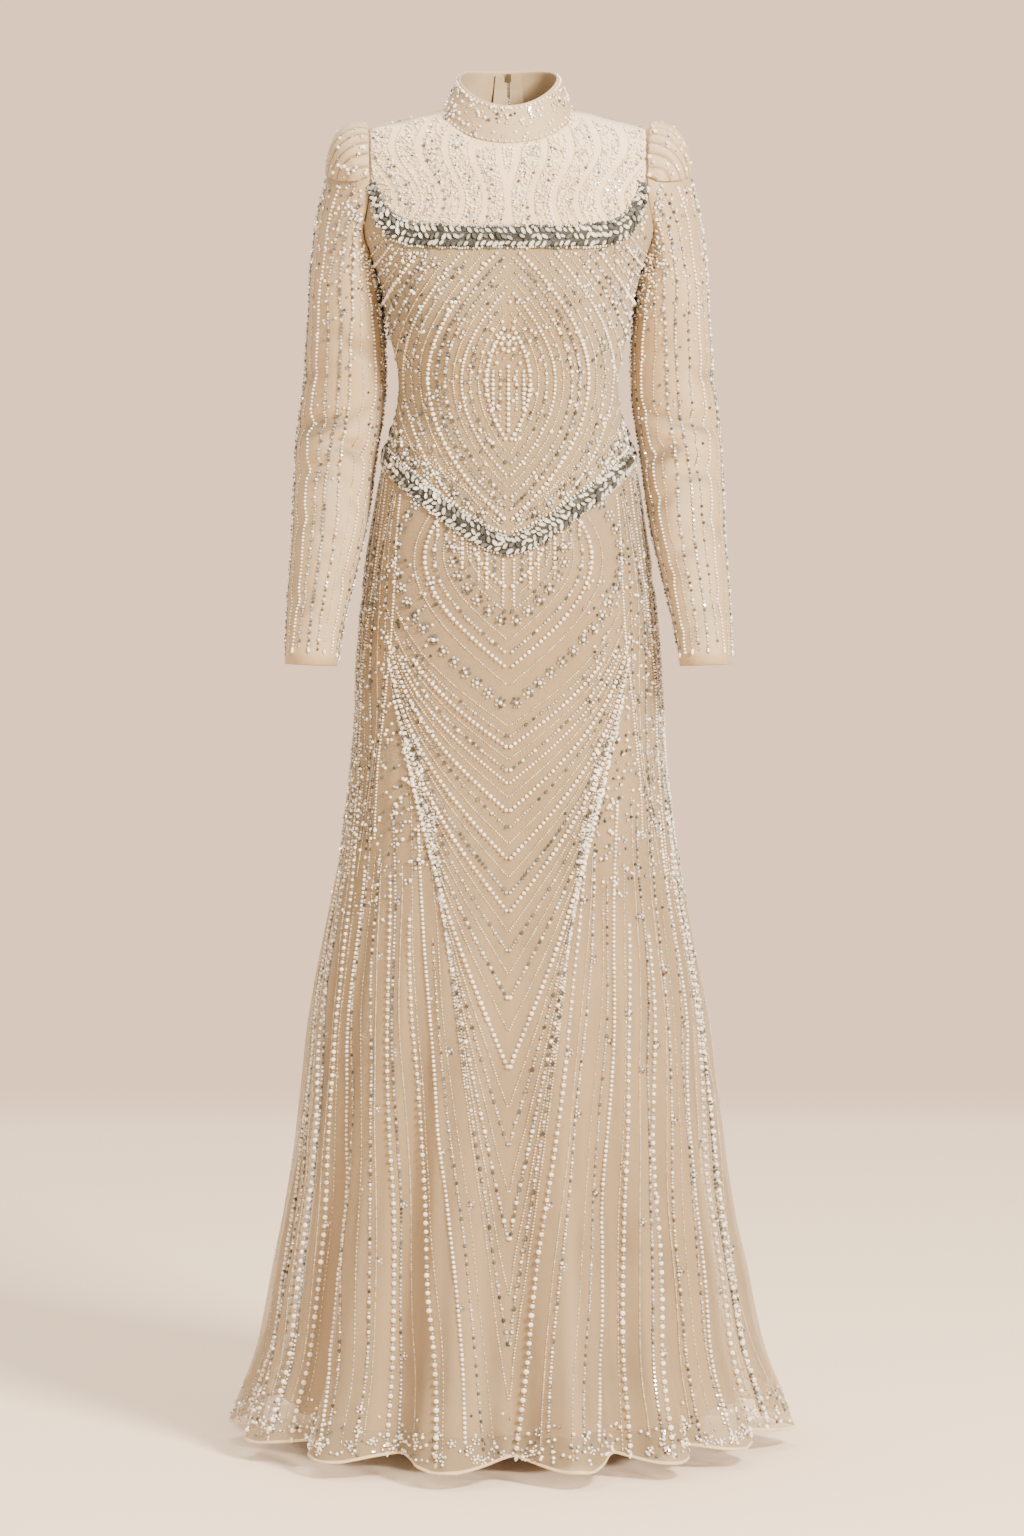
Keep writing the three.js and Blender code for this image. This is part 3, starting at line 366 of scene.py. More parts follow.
def crease_depth(creases, angle, z):
    total = np.zeros(np.broadcast(angle, z).shape)
    for height, at, reach, tall, deep, lean in creases:
        off = (angle - at + 540) % 360 - 180
        level = (z - height - lean * off) / tall
        total = total + deep * np.exp(-level * level) * smooth(1 - np.abs(off) / reach)
    return total


def arm_ring(z, turn):
    """Points of the +X sleeve at heights below its head, square to the arm's direction there."""
    x, y, rx, ry = (column(ARM_UP, "z", name, z) for name in ("x", "y", "rx", "ry"))
    below, above = z - ARM_STEP, z + ARM_STEP
    ahead = unit(np.stack([
        *(column(ARM_UP, "z", name, below) - column(ARM_UP, "z", name, above) for name in ("x", "y")),
        np.full(np.shape(z), -2.0 * ARM_STEP),
    ], -1))
    forward = unit(np.array([0, -1, 0]) + ahead * ahead[..., 1:2])
    outward = unit(np.array([1, 0, 0]) - ahead * ahead[..., 0:1])
    a = 2 * np.pi * turn
    crease = CREASE_GAIN * crease_depth(SLEEVE_CREASES, turn * 360, z)
    centre = np.stack([x, y, np.asarray(z, float)], -1)
    across = outward * ((rx - crease) * np.cos(a))[..., None]
    return centre + across + forward * ((ry - crease) * np.sin(a))[..., None]


def sleeve(turn, run):
    """Points of the +X sleeve: turn round it, run 0 to 1 over the cap and on to 2 at the cuff."""
    turn, run = np.broadcast_arrays(np.asarray(turn, float), np.asarray(run, float))
    start, end = armhole_at(turn), arm_ring(np.full(turn.shape, float(ARM["z"][0])), turn)
    start = start + np.array([NECK["gap"], 0, 0])
    a = 2 * np.pi * turn
    high = (1 + np.cos(a)) / 2
    up = -CAP_TANGENT["down"] + (CAP_TANGENT["up"] + CAP_TANGENT["down"]) * high
    leave = np.stack([
        CAP_TANGENT["out"] * high ** CAP_TANGENT["power"], -CAP_TANGENT["forward"] * np.sin(a), up,
    ], -1)
    arrive = np.stack([0 * a, 0 * a, -(CAP_TANGENT["down"] + CAP_TANGENT["drop"] * high)], -1)
    s = np.clip(run, 0, 1)[..., None]
    r = 1 - s
    over = start * r * r * (1 + 2 * s) + leave * s * r * r + end * s * s * (3 - 2 * s) - arrive * s * s * r
    below = arm_ring(ARM["z"][0] + (ARM["z"][-1] - ARM["z"][0]) * np.clip(run - 1, 0, 1), turn)
    return np.where((run >= 1)[..., None], below, over)


def normals_of(surface, u, v, step_u, step_v, limits_v):
    """Unit normals of a surface of two shares, as across u with along v."""
    v0, v1 = np.maximum(v - step_v, limits_v[0]), np.minimum(v + step_v, limits_v[1])
    normal = np.cross(surface(u + step_u, v) - surface(u - step_u, v), surface(u, v1) - surface(u, v0))
    return unit(normal)


def sleeve_normal(turn, run):
    return normals_of(sleeve, turn, run, 4e-3, 6e-3, (0, 2))


def body_normal(side, u, h, layer="outer"):
    edge = np.clip(u, -0.9985, 0.9985)
    surface = lambda p, q: body(side, p, q, layer)
    return normals_of(surface, edge, h, 1.4e-3, 0.6, (-LENGTH, YOKE_RISE)) * -side


def gather(turn, along):
    """Height of a cap's gathers there: 1 on a ridge, 0 in a tuck."""
    wobble = 0.3 * np.sin(5 * along + 31 * turn) + 0.2 * np.sin(70 * turn)
    return np.abs(np.cos(CAP["gathers"] * np.pi / 2 * turn * 360 / CAP["reach"] + wobble)) ** 0.7


def cap(turn, along):
    """Gathered cap over the +X sleeve head: along is the share of the way over it, to a level lower edge."""
    degrees = np.abs(turn * 360)
    run = CAP["start"] + (CAP["end"] * np.sqrt(1 - (degrees / CAP["round"]) ** 2) - CAP["start"]) * along
    side = degrees / CAP["reach"]
    ends = 1 - side**4
    swell = np.sin(np.pi * np.clip(along, 0, 1) ** 1.4) ** 0.8 * ends
    tuck = gather(turn, along)
    ridge = CAP["ridge"] * (0.4 + 0.6 * swell) * tuck * ends * smooth(1.15 - along)
    out = CAP["lift"] + 2 + CAP["puff"] * swell + ridge
    return sleeve(turn, run) + sleeve_normal(turn, run) * out[..., None]


def collar(turn, up):
    """Points of the collar's outer face: turn 0 to 1 from one centre-back edge round the front."""
    turn, up = np.broadcast_arrays(np.asarray(turn, float), np.asarray(up, float))
    quarter = turn * 4
    back = (quarter < 1) | (quarter > 3)
    share = np.where(quarter < 1, -quarter, np.where(quarter > 3, 4 - quarter, quarter - 2))
    foot = body(np.where(back, 1, -1), NECK["share"] * share, float(YOKE_RISE)) + [0, 0, NECK["gap"]]
    a = 2 * np.pi * turn
    rise = COLLAR_TOP["towards_back"] * np.cos(a) - COLLAR_TOP["sides"] * np.cos(2 * a)
    head = np.stack([
        -COLLAR["half_width"] * np.sin(a),
        COLLAR["y"] + COLLAR["half_depth"] * np.cos(a),
        COLLAR_TOP["middle"] + rise,
    ], -1)
    point = foot + (head - foot) * up[..., None]
    point[..., 2] += COLLAR["bow"] * np.sin(np.pi * up)
    return point


# ---- making meshes ----------------------------------------------------------------------------------------
def coordinates(mesh):
    flat = np.empty(len(mesh.vertices) * 3)
    mesh.vertices.foreach_get("co", flat)
    return flat.reshape(-1, 3)


def link(name, mesh, material, body_name=GOWN):
    old = bpy.data.objects.get(name)
    if old:
        bpy.data.objects.remove(old)
    obj = bpy.data.objects.new(name, mesh)
    bpy.context.scene.collection.objects.link(obj)
    mesh.materials.append(material)
    mesh.shade_smooth()
    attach(obj, body_name)
    return obj


def cloth_grid(name, across, along, place, material, closed=False, thick=0.7, fold=None):
    """Sheet of cloth: a grid whose shares across and along are sent to their places by a function, in mm.

    Another function gives its fold shade attribute, 1 on a ridge and -1 in a trough, by which its tone
    varies: painted shade, darker in the troughs and lighter on the ridges.
    """
    bm = bmesh.new()
    bmesh.ops.create_grid(bm, x_segments=across, y_segments=along, size=0.5)
    mesh = bpy.data.meshes.new(name)
    bm.to_mesh(mesh)
    bm.free()
    shares = coordinates(mesh)[:, :2] + 0.5
    points = place(shares[:, 0], shares[:, 1]) * MM
    mesh.vertices.foreach_set("co", points.ravel())
    # Painted shade: the fold shade attribute makes the cloth darker in troughs and lighter on ridges.
    if fold:
        values = fold(shares[:, 0], shares[:, 1])
        mesh.attributes.new("fold", "FLOAT", "POINT").data.foreach_set("value", values)
    order = np.lexsort((shares[:, 0].round(6), shares[:, 1].round(6)))
    layout = points[order].reshape(along + 1, across + 1, 3)
    width = np.linalg.norm(np.diff(layout, axis=1), axis=-1).sum(1).max()
    length = np.linalg.norm(np.diff(layout, axis=0), axis=-1).sum(0).max()
    uv = mesh.uv_layers.new(name="cloth")
    corners = np.empty(len(mesh.loops), int)
    mesh.loops.foreach_get("vertex_index", corners)
    uv.data.foreach_set("uv", (shares * [width, length])[corners].ravel())
    bm = bmesh.new()
    bm.from_mesh(mesh)
    if closed:
        bmesh.ops.remove_doubles(bm, verts=bm.verts, dist=1e-6)
    bm.normal_update()
    middle = Vector(points.mean(0))
    facing = sum((f.calc_center_median() - middle).xy.dot(f.normal.xy) * f.calc_area() for f in bm.faces)
    if facing < 0:
        bmesh.ops.reverse_faces(bm, faces=bm.faces)
    area = sum(f.calc_area() for f in bm.faces)
    bm.to_mesh(mesh)
    bm.free()
    obj = link(name, mesh, material)
    if thick:
        shell = obj.modifiers.new("thickness", "SOLIDIFY")
        shell.thickness, shell.offset = thick * MM, -1
    obj["cut"] = [float(width), float(length), float(min(area, width * length))]
    return obj


def unevenness(angle, z):
    """Slight play of worn cloth, in mm, from a few slow waves."""
    a = np.radians(angle)
    return sum(high * np.sin(a * count + z / tall + phase) for high, count, tall, phase in UNEVENNESS)


def drape(angle, z):
    """Soft upright folds of the skirt between its flutes, deeper towards the hem."""
    low = np.clip((DRAPE["from"] - z) / DRAPE["run"], 0, 1)
    a = np.radians(angle)
    waves = sum(
        high * np.sin(count * a + sway * np.sin(sways * a) + phase)
        for high, count, sway, sways, phase in DRAPE_WAVES
    )
    return DRAPE["high"] * low ** DRAPE["power"] * waves


def angle_of(side, u):
    return np.where(side < 0, 90 * u, np.where(u < 0, -1, 1) * (180 - 90 * np.abs(u)))


def body_relief(side, u, h):
    angle, z = angle_of(side, u), UNDERARM + h
    return unevenness(angle, z) + drape(angle, z) - crease_depth(BODY_CREASES, angle, z)


def worn(side, u, h, layer="outer", inset=0.0):
    relief = body_relief(side, u, h) - inset
    if layer == "underskirt":
        turned = angle_of(side, u) + UNDERSKIRT["turned"]
        relief = relief + UNDERSKIRT["drape"] * drape(turned, UNDERARM + h)
    points = body(side, u, h, layer) + body_normal(side, u, h, layer) * relief[..., None]
    points[..., 1] = side * np.maximum(side * points[..., 1], 0.2)
    return points


def panel(name, side, ends, low, high, size, material, layer="outer", inset=0.0, thick=0.7):
    """Panel of the body between two shares across and two heights."""
    def spot(s, t):
        u = ends[0] + (ends[1] - ends[0]) * s
        bottom, top = low(u), high(u)
        return u, bottom + (top - bottom) * t

    def place(s, t):
        return worn(side, *spot(s, t), layer, inset)

    # Painted shade: the drape's troughs give a darker tone and its crests a lighter one.
    def fold(s, t):
        u, h = spot(s, t)
        turned = UNDERSKIRT["turned"] if layer == "underskirt" else 0
        return (drape(angle_of(side, u) + turned, UNDERARM + h) / DRAPE["crest"]).clip(-1, 1)

    return cloth_grid(name, size[0], size[1], place, material, thick=thick, fold=fold)


# ---- materials --------------------------------------------------------------------------------------------
class Nodes:
    """A material's node tree, built up by short calls."""

    def __init__(self, name):
        self.material = bpy.data.materials.new(name)
        self.material.use_nodes = True
        self.tree = self.material.node_tree
        self.shader = self.tree.nodes["Principled BSDF"]

    def add(self, kind, inputs=None, **settings):
        node = self.tree.nodes.new(kind)
        for key, value in settings.items():
            setattr(node, key, value)
        for key, value in (inputs or {}).items():
            if isinstance(value, bpy.types.NodeSocket):
                self.tree.links.new(value, node.inputs[key])
            else:
                node.inputs[key].default_value = value
        return node

    def ramp(self, factor, stops):
        node = self.add("ShaderNodeValToRGB", {"Fac": factor})
        elements = node.color_ramp.elements
        while len(elements) < len(stops):
            elements.new(0.5)
        for element, (at, color) in zip(elements, stops):
            element.position, element.color = at, (*color, 1)
        return node.outputs["Color"]

    def wire(self, output, name):
        self.tree.links.new(output, self.shader.inputs[name])

    def set(self, **values):
        for name, value in values.items():
            self.shader.inputs[name.replace("_", " ")].default_value = value


CLOTH_TONES = [(0.0, 0.58), (0.35, 0.92), (0.9, 1.16)]


def shade(color, share):
    return tuple(min(1.0, c * share) for c in color)


def shades(color, tones):
    """Stops of a ramp, from pairs of a place and a brightness."""
    return [(at, shade(color, share)) for at, share in tones]


def cloth_material(
    name, color, roughness, weave, weave_depth, grain=0.0, sheen=0.2, alpha=1.0, fold_shade_share=0.0, place_by="UV",
):
    """Woven cloth: slow tone changes, painted shade in its folds where a share is given, crossing threads
    and, where it is beaded all over, small domes.
    """
    n = Nodes(name)
    place = n.add("ShaderNodeTexCoord")
    spots = {"Vector": place.outputs["Object"], "Scale": 9.0, "Detail": 3.0}
    tone = n.add("ShaderNodeTexNoise", spots).outputs["Fac"]
    # Painted shade: the fold shade attribute moves the tone down in troughs and creases and up on ridges.
    if fold_shade_share:
        fold = n.add("ShaderNodeAttribute", attribute_name="fold").outputs["Fac"]
        tone = n.add("ShaderNodeMath", {0: fold, 1: fold_shade_share, 2: tone}, operation="MULTIPLY_ADD").outputs[0]
    n.wire(n.ramp(tone, shades(color, CLOTH_TONES)), "Base Color")
    threads = {"Vector": place.outputs[place_by], "Scale": 1 / weave, "Distortion": 0.6}
    lines = [
        n.add("ShaderNodeTexWave", threads, wave_type="BANDS", bands_direction=direction).outputs["Fac"]
        for direction in ("X", "Y")
    ]
    height = n.add("ShaderNodeMath", {0: lines[0], 1: lines[1]}, operation="MULTIPLY").outputs[0]
    bump = n.add("ShaderNodeBump", {"Height": height, "Distance": weave_depth * MM, "Strength": 0.6})
    if grain:
        domes = n.add("ShaderNodeTexVoronoi", {"Vector": place.outputs["Object"], "Scale": 1 / grain})
        rise = n.add("ShaderNodeMath", {0: 1.0, 1: domes.outputs["Distance"]}, operation="SUBTRACT")
        bump = n.add("ShaderNodeBump", {
            "Height": rise.outputs[0], "Distance": 0.35 * grain, "Strength": 0.8,
            "Normal": bump.outputs["Normal"],
        })
    n.wire(bump.outputs["Normal"], "Normal")
    n.set(Roughness=roughness, Sheen_Weight=sheen, Sheen_Roughness=0.4)
    if alpha < 1:
        open_net = n.add("ShaderNodeMath", {0: height, 1: 0.9, 2: alpha - 0.22}, operation="MULTIPLY_ADD")
        n.wire(open_net.outputs[0], "Alpha")
    return n.material


def bead_material(name, color, roughness, metallic, coat, tones):
    """Beads whose own tint attribute picks a tone for each one, from pairs of a share and a brightness; on
    beads that are not smooth the tint is lowered at the base as painted shade.
    """
    n = Nodes(name)
    tint = n.add("ShaderNodeAttribute", attribute_name="tint")
    n.wire(n.ramp(tint.outputs["Fac"], shades(color, tones)), "Base Color")
    n.set(Roughness=roughness, Metallic=metallic, Coat_Weight=coat, Coat_Roughness=0.1)
    return n.material


# ---- beads ------------------------------------------------------------------------------------------------
def primitive(maker, stretch=(1, 1, 1), **settings):
    """Points and faces of one bead, of size 1, with its outer side towards +Z and its string along +Y.

    The faces are sorted, since some makers give them in another order each run.
    """
    bm = bmesh.new()
    maker(bm, **settings)
    bmesh.ops.scale(bm, vec=stretch, verts=bm.verts)
    points = np.array([v.co[:] for v in bm.verts])
    faces = sorted([v.index for v in face.verts] for face in bm.faces)
    bm.free()
    return points, faces


SHAPES = {
    "pearl": primitive(bmesh.ops.create_icosphere, subdivisions=1, radius=0.5),
    "orb": primitive(bmesh.ops.create_uvsphere, u_segments=6, v_segments=4, radius=0.5),
    "drop": primitive(bmesh.ops.create_uvsphere, (0.8, 1.5, 0.8), u_segments=6, v_segments=4, radius=0.5),
    "tooth": primitive(bmesh.ops.create_cube, (1.4, 0.7, 1), size=1),
    "seed": primitive(bmesh.ops.create_uvsphere, (1.1, 1.1, 1), u_segments=4, v_segments=2, radius=0.5),
    "bugle": primitive(bmesh.ops.create_uvsphere, (0.75, 2.6, 0.75), u_segments=4, v_segments=2, radius=0.5),
    "crystal": primitive(
        bmesh.ops.create_cone, cap_ends=True, segments=5, radius1=0.56, radius2=0.36, depth=0.5,
    ),
    "navette": primitive(
        bmesh.ops.create_cone, (0.64, 1.2, 1), cap_ends=True, segments=8, radius1=0.5, radius2=0.34,
        depth=0.3,
    ),
    "round": primitive(
        bmesh.ops.create_cone, cap_ends=True, segments=8, radius1=0.5, radius2=0.34, depth=0.36,
    ),
}
SMOOTH_BEADS = ("pearl", "orb", "drop", "seed", "bugle")
FINISH_OF = {
    "pearl": "pearl", "orb": "pearl", "drop": "pearl", "seed": "seed_bead", "bugle": "seed_bead",
    "crystal": "crystal", "navette": "stone", "round": "stone", "tooth": "zip_coil",
}
# Finish of the beads, with their tones: a share of them and the brightness there. The crystals' and stones'
# tones are partly painted reflection: a share near black for dark glints and a top past their own colour for
# bright ones.
SEED_TONES = [(0.0, 0.5), (1.0, 1.25)]
FINISHES = {
    "pearl": {
        "roughness": 0.24, "metallic": 0.0, "coat": 0.6, "tones": [(0.0, 0.6), (0.4, 0.94), (1.0, 1.06)],
    },
    "seed_bead": {"roughness": 0.25, "metallic": 0.0, "coat": 0.5, "tones": SEED_TONES},
    # Painted reflection: dark and bright glints of the crystals, picked bead by bead.
    "crystal": {
        "roughness": 0.16, "metallic": 0.4, "coat": 0.4,
        "tones": [(0.0, 0.08), (0.3, 0.3), (0.45, 0.85), (1.0, 1.38)],
    },
    # Painted reflection: dark and bright glints of the stones, picked bead by bead.
    "stone": {
        "roughness": 0.14, "metallic": 0.35, "coat": 0.5,
        "tones": [(0.0, 0.05), (0.26, 0.2), (0.45, 0.8), (1.0, 1.2)],
    },
    "zip_coil": {"roughness": 0.35, "metallic": 0.3, "coat": 0.2, "tones": SEED_TONES},
}
ZIP_COLOR = (0.62, 0.5, 0.33)
# Strings of beads: what follows one another on the thread, as kind and size in mm, and the gap between.
STRINGS = {
    "bold": ([("orb", 5.2), ("seed", 2.2)], 0.7),
    "pearls": ([("pearl", 4.9)], 1.0),
    "small_pearls": ([("pearl", 3.7)], 1.0),
    "seeds": ([("seed", 2.4)], 0.6),
    "sparse_seeds": ([("seed", 2.4)], 1.9),
    "crystals": ([("crystal", 4.2), ("seed", 2.4), ("seed", 2.4)], 0.7),
    "mixed": ([("pearl", 4.6), ("crystal", 3.8), ("seed", 2.4), ("crystal", 3.8)], 0.8),
    "glints": ([("crystal", 4.0)], 1.1),
    "bugles": ([("bugle", 2.3), ("seed", 2.3)], 1.3),
}
LONGEST_STEP = 16  # a path with a longer gap than this is threaded as separate strings
HEART = {"size": 0.75, "petals_out": 0.82, "petals": 0.6}  # of a flower, in shares of its radius
UNEVEN_BEADS = 0.07  # usual difference in size between beads of one kind
LONG_BEADS = {"bugle": 2.6}  # length of a bead that is longer than its size


class Beadwork:
    """Beads of one part of the gown, gathered by kind and then made one mesh for each kind."""

    def __init__(self, seed):
        self.random = np.random.default_rng(seed)
        self.rows = {}

    def add(self, kind, points, normals, along, size, turn=0.0, lift=0.3):
        count = len(points)
        if not count:
            return
        share = bpy.context.scene.gown_beads.size
        play = (1 + UNEVEN_BEADS * self.random.standard_normal(count)).clip(0.8, 1.25)
        size = np.broadcast_to(size, count) * play * share
        normals = unit(normals)
        along = unit(along - normals * (along * normals).sum(-1, keepdims=True))
        across = np.cross(along, normals)
        turn = np.broadcast_to(turn, count)[:, None]
        c, s = np.cos(turn), np.sin(turn)
        along, across = along * c + across * s, across * c - along * s
        tint = self.random.random(count)
        place = points + normals * (size * lift)[:, None]
        frame = np.stack([across, along, normals], 1) * size[:, None, None]
        self.rows.setdefault(kind, []).append((place, frame, tint))

    def string(self, path, style, scale=1.0):
        """Thread a style of string along a path of points and normals; scale may depend on the height."""
        points, normals = path
        gaps = np.where(np.linalg.norm(np.diff(points, axis=0), axis=1) > LONGEST_STEP)[0] + 1
        if len(gaps):
            for part in np.split(np.arange(len(points)), gaps):
                self.string((points[part], normals[part]), style, scale[part] if np.ndim(scale) else scale)
            return
        if len(points) < 3:
            return
        cycle, gap = STRINGS[style]
        scale = np.broadcast_to(scale(points[:, 2]) if callable(scale) else scale, len(points)).astype(float)
        lengths = [size * LONG_BEADS.get(kind, 1) + gap for kind, size in cycle]
        step = np.linalg.norm(np.diff(points, axis=0), axis=1)
        turns = np.concatenate([[0], np.cumsum(step / (sum(lengths) * (scale[1:] + scale[:-1]) / 2))])
        ahead = np.gradient(points, axis=0)
        start = 0.0
        for (kind, size), length in zip(cycle, lengths):
            at = np.arange(math.floor(turns[-1])) + (start + length / 2) / sum(lengths)
            start += length
            spin = self.random.uniform(-0.5, 0.5, len(at)) if kind == "crystal" else 0.0
            values = sampled(at, turns, points, normals, ahead)
            self.add(kind, *values, size * np.interp(at, turns, scale), spin)

    def scatter(self, path, *runs):
        """Lay single upright beads at points: each run of them has an end, a kind and a size."""
        start = 0
        for end, kind, size in runs:
            points, normals, up = (field[start:end] for field in upright(path))
            self.add(kind, points, normals, up, size)
            start = end

    def flowers(self, path, radius, petals=6, heart="pearl", petal="crystal"):
        """Small flowers at points: a heart with petals round it."""
        points, normals, along = path
        normals = unit(normals)
        along = unit(along - normals * (along * normals).sum(-1, keepdims=True))
        across = np.cross(along, normals)
        self.add(heart, points, normals, along, radius * HEART["size"])
        spin = self.random.uniform(0, 6.28, len(points))
        for k in range(petals):
            a = (spin + 2 * np.pi * k / petals)[:, None]
            ray = along * np.cos(a) + across * np.sin(a)
            place = points + ray * radius * HEART["petals_out"]
            self.add(petal, place, normals, ray, radius * HEART["petals"])

    def finish(self, region):
        for kind, rows in self.rows.items():
            place, frame, tint = (np.concatenate(part) for part in zip(*rows))
            points, faces = SHAPES[kind]
            everything = place[:, None] + np.einsum("vk,nkc->nvc", points, frame)
            corners = np.concatenate([np.array(face) for face in faces])
            sizes = np.array([len(face) for face in faces])
            count = len(place)
            mesh = bpy.data.meshes.new(f"{region}_{kind}")
            mesh.vertices.add(count * len(points))
            mesh.vertices.foreach_set("co", (everything * MM).ravel())
            mesh.loops.add(count * len(corners))
            mesh.loops.foreach_set(
                "vertex_index", (corners[None] + len(points) * np.arange(count)[:, None]).ravel()
            )
            mesh.polygons.add(count * len(faces))
            starts = np.concatenate([[0], np.cumsum(sizes)[:-1]])
            mesh.polygons.foreach_set(
                "loop_start", (starts[None] + len(corners) * np.arange(count)[:, None]).ravel()
            )
            mesh.update(calc_edges=True)
            # Painted shade: crystals, stones and zip teeth are darkened to a fifth of their tint on their
            # lower half, towards the cloth, which gives each a dark edge.
            painted_base_shade = 1.0 if kind in SMOOTH_BEADS else np.where(points[:, 2] < 0, 0.2, 1.0)
            tints_and_base_shade = tint[:, None] * np.broadcast_to(painted_base_shade, len(points))
            mesh.attributes.new("tint", "FLOAT", "POINT").data.foreach_set("value", tints_and_base_shade.ravel())
            obj = link(f"{region}_{kind}s", mesh, finish_of(kind))
            if kind not in SMOOTH_BEADS:
                mesh.shade_flat()


# ---- places on the gown -----------------------------------------------------------------------------------
def height_of(side, u, z):
    top = body(side, u, np.full(np.shape(u), float(YOKE_RISE)))[..., 2]
    return np.where(z <= UNDERARM, z - UNDERARM, YOKE_RISE * (z - UNDERARM) / (top - UNDERARM))


def on_body(side, u, z):
    """Points and outward normals of the worn cloth at shares u across the front or the back and heights z."""
    u, z = np.broadcast_arrays(np.asarray(u, float), np.asarray(z, float))
    h = height_of(side, u, z)
    return worn(side, u, h), body_normal(side, u, h)


def facing(side, x, z):
    """The same, at places given as seen from straight in front or behind; misses are left out."""
    x, z = np.broadcast_arrays(np.asarray(x, float), np.asarray(z, float))
    half = np.where(x < 0, -1, 1)
    low, high = np.zeros(x.shape), np.ones(x.shape)
    for _ in range(22):
        middle = (low + high) / 2
        inside = half * body(side, half * middle, height_of(side, half * middle, z))[..., 0] < np.abs(x)
        low, high = np.where(inside, middle, low), np.where(inside, high, middle)
    keep = (low < 0.985) & (height_of(side, low, z) < YOKE_RISE - 2)
    return on_body(side, (half * low)[keep], z[keep])


def around(angle, z):
    """The same, at angles from the centre front and heights below the underarm."""
    angle, z = np.broadcast_arrays(np.asarray(angle, float), np.asarray(z, float))
    front = np.abs(angle) <= 90
    u = np.clip(np.where(front, angle / 90, np.sign(angle) * (180 - np.abs(angle)) / 90), -0.998, 0.998)
    (p, n), (q, m) = on_body(-1, u, z), on_body(1, u, z)
    return np.where(front[..., None], p, q), np.where(front[..., None], n, m)


def on_sleeve(turn, run, sign):
    flip = np.array([sign, 1, 1])
    return sleeve(turn, run) * flip, sleeve_normal(turn, run) * flip


def upright(path):
    """Adds an upright direction to a path, for beads that are laid one by one."""
    points, normals = path
    return points, normals, np.tile([0, 0, 1.0], (len(points), 1))


def spaced(path, pitch):
    """Points at even steps along a path, with normals and directions."""
    points, normals = path
    length = lengths_along(points)
    at = np.arange(pitch / 2, length[-1], pitch)
    return sampled(at, length, points, normals, np.gradient(points, axis=0))


def mirrored(beads, side, x, z, style, scale=1.0):
    """The same string on both halves of the front or the back."""
    for sign in (1, -1):
        beads.string(facing(side, sign * x, z), style, scale)


# ---- settings ---------------------------------------------------------------------------------------------
def color_property(name, description, default):
    return FloatVectorProperty(
        name=name, description=description, default=default, subtype="COLOR", min=0, max=1,
    )


class GownClothSettings(bpy.types.PropertyGroup):
    net: color_property("Net", "Beaded net of the bodice", (0.33, 0.225, 0.11))
    yoke: color_property("Yoke", "Paler net of the yoke", (0.92, 0.66, 0.385))
    skirt: color_property("Skirt net", "Open net of the skirt", (0.46, 0.32, 0.17))
    satin: color_property("Satin", "Satin of sleeves, caps and collar", (0.47, 0.32, 0.17))
    lining: color_property("Underskirt", "Opaque layer under the net", (0.30, 0.185, 0.08))
    weave: FloatProperty(name="Weave", description="Spacing of the threads", default=0.0011, unit="LENGTH")
    net_cover: FloatProperty(
        name="Net cover", description="Share of the net that is thread", default=0.55, min=0, max=1,
    )


class GownBeadSettings(bpy.types.PropertyGroup):
    pearl: color_property("Pearl", "Pearls", (0.95, 0.84, 0.69))
    seed_bead: color_property("Seed bead", "Smallest beads", (0.80, 0.65, 0.45))
    crystal: color_property("Crystal", "Faceted silver beads", (0.72, 0.70, 0.66))
    stone: color_property("Stone", "Large stones of the bands", (0.84, 0.77, 0.63))
    size: FloatProperty(
        name="Bead size", description="Share of the usual bead size", default=1.0, min=0.5, max=1.5,
    )
    hem_lines: IntProperty(
        name="Hem lines", description="Bead strings round half the hem", default=48, min=10, max=60,
    )


class GownStageSettings(bpy.types.PropertyGroup):
    floor: color_property("Floor", "Floor", (1.0, 0.78, 0.57))
    wall: color_property("Wall", "Backdrop", (0.97, 0.66, 0.43))
    daylight: color_property("Room light", "Light from all round", (1.0, 0.90, 0.77))
    ambient: FloatProperty(
        name="Room light strength", description="Strength of the light from all round", default=0.9,
    )
    wall_strength: FloatProperty(
        name="Wall brightness", description="Brightness of the backdrop", default=1.75,
    )
    far_edge: FloatProperty(
        name="Floor edge", description="Where the floor fades out", default=2.28, unit="LENGTH",
    )
    elevation: FloatProperty(
        name="Elevation", description="Camera's height angle", default=math.radians(9.5), unit="ROTATION",
    )
    distance: FloatProperty(name="Distance", description="Camera's distance", default=48.0, unit="LENGTH")
    framed: FloatProperty(
        name="Framed height", description="Height seen at the gown", default=1.706, unit="LENGTH",
    )


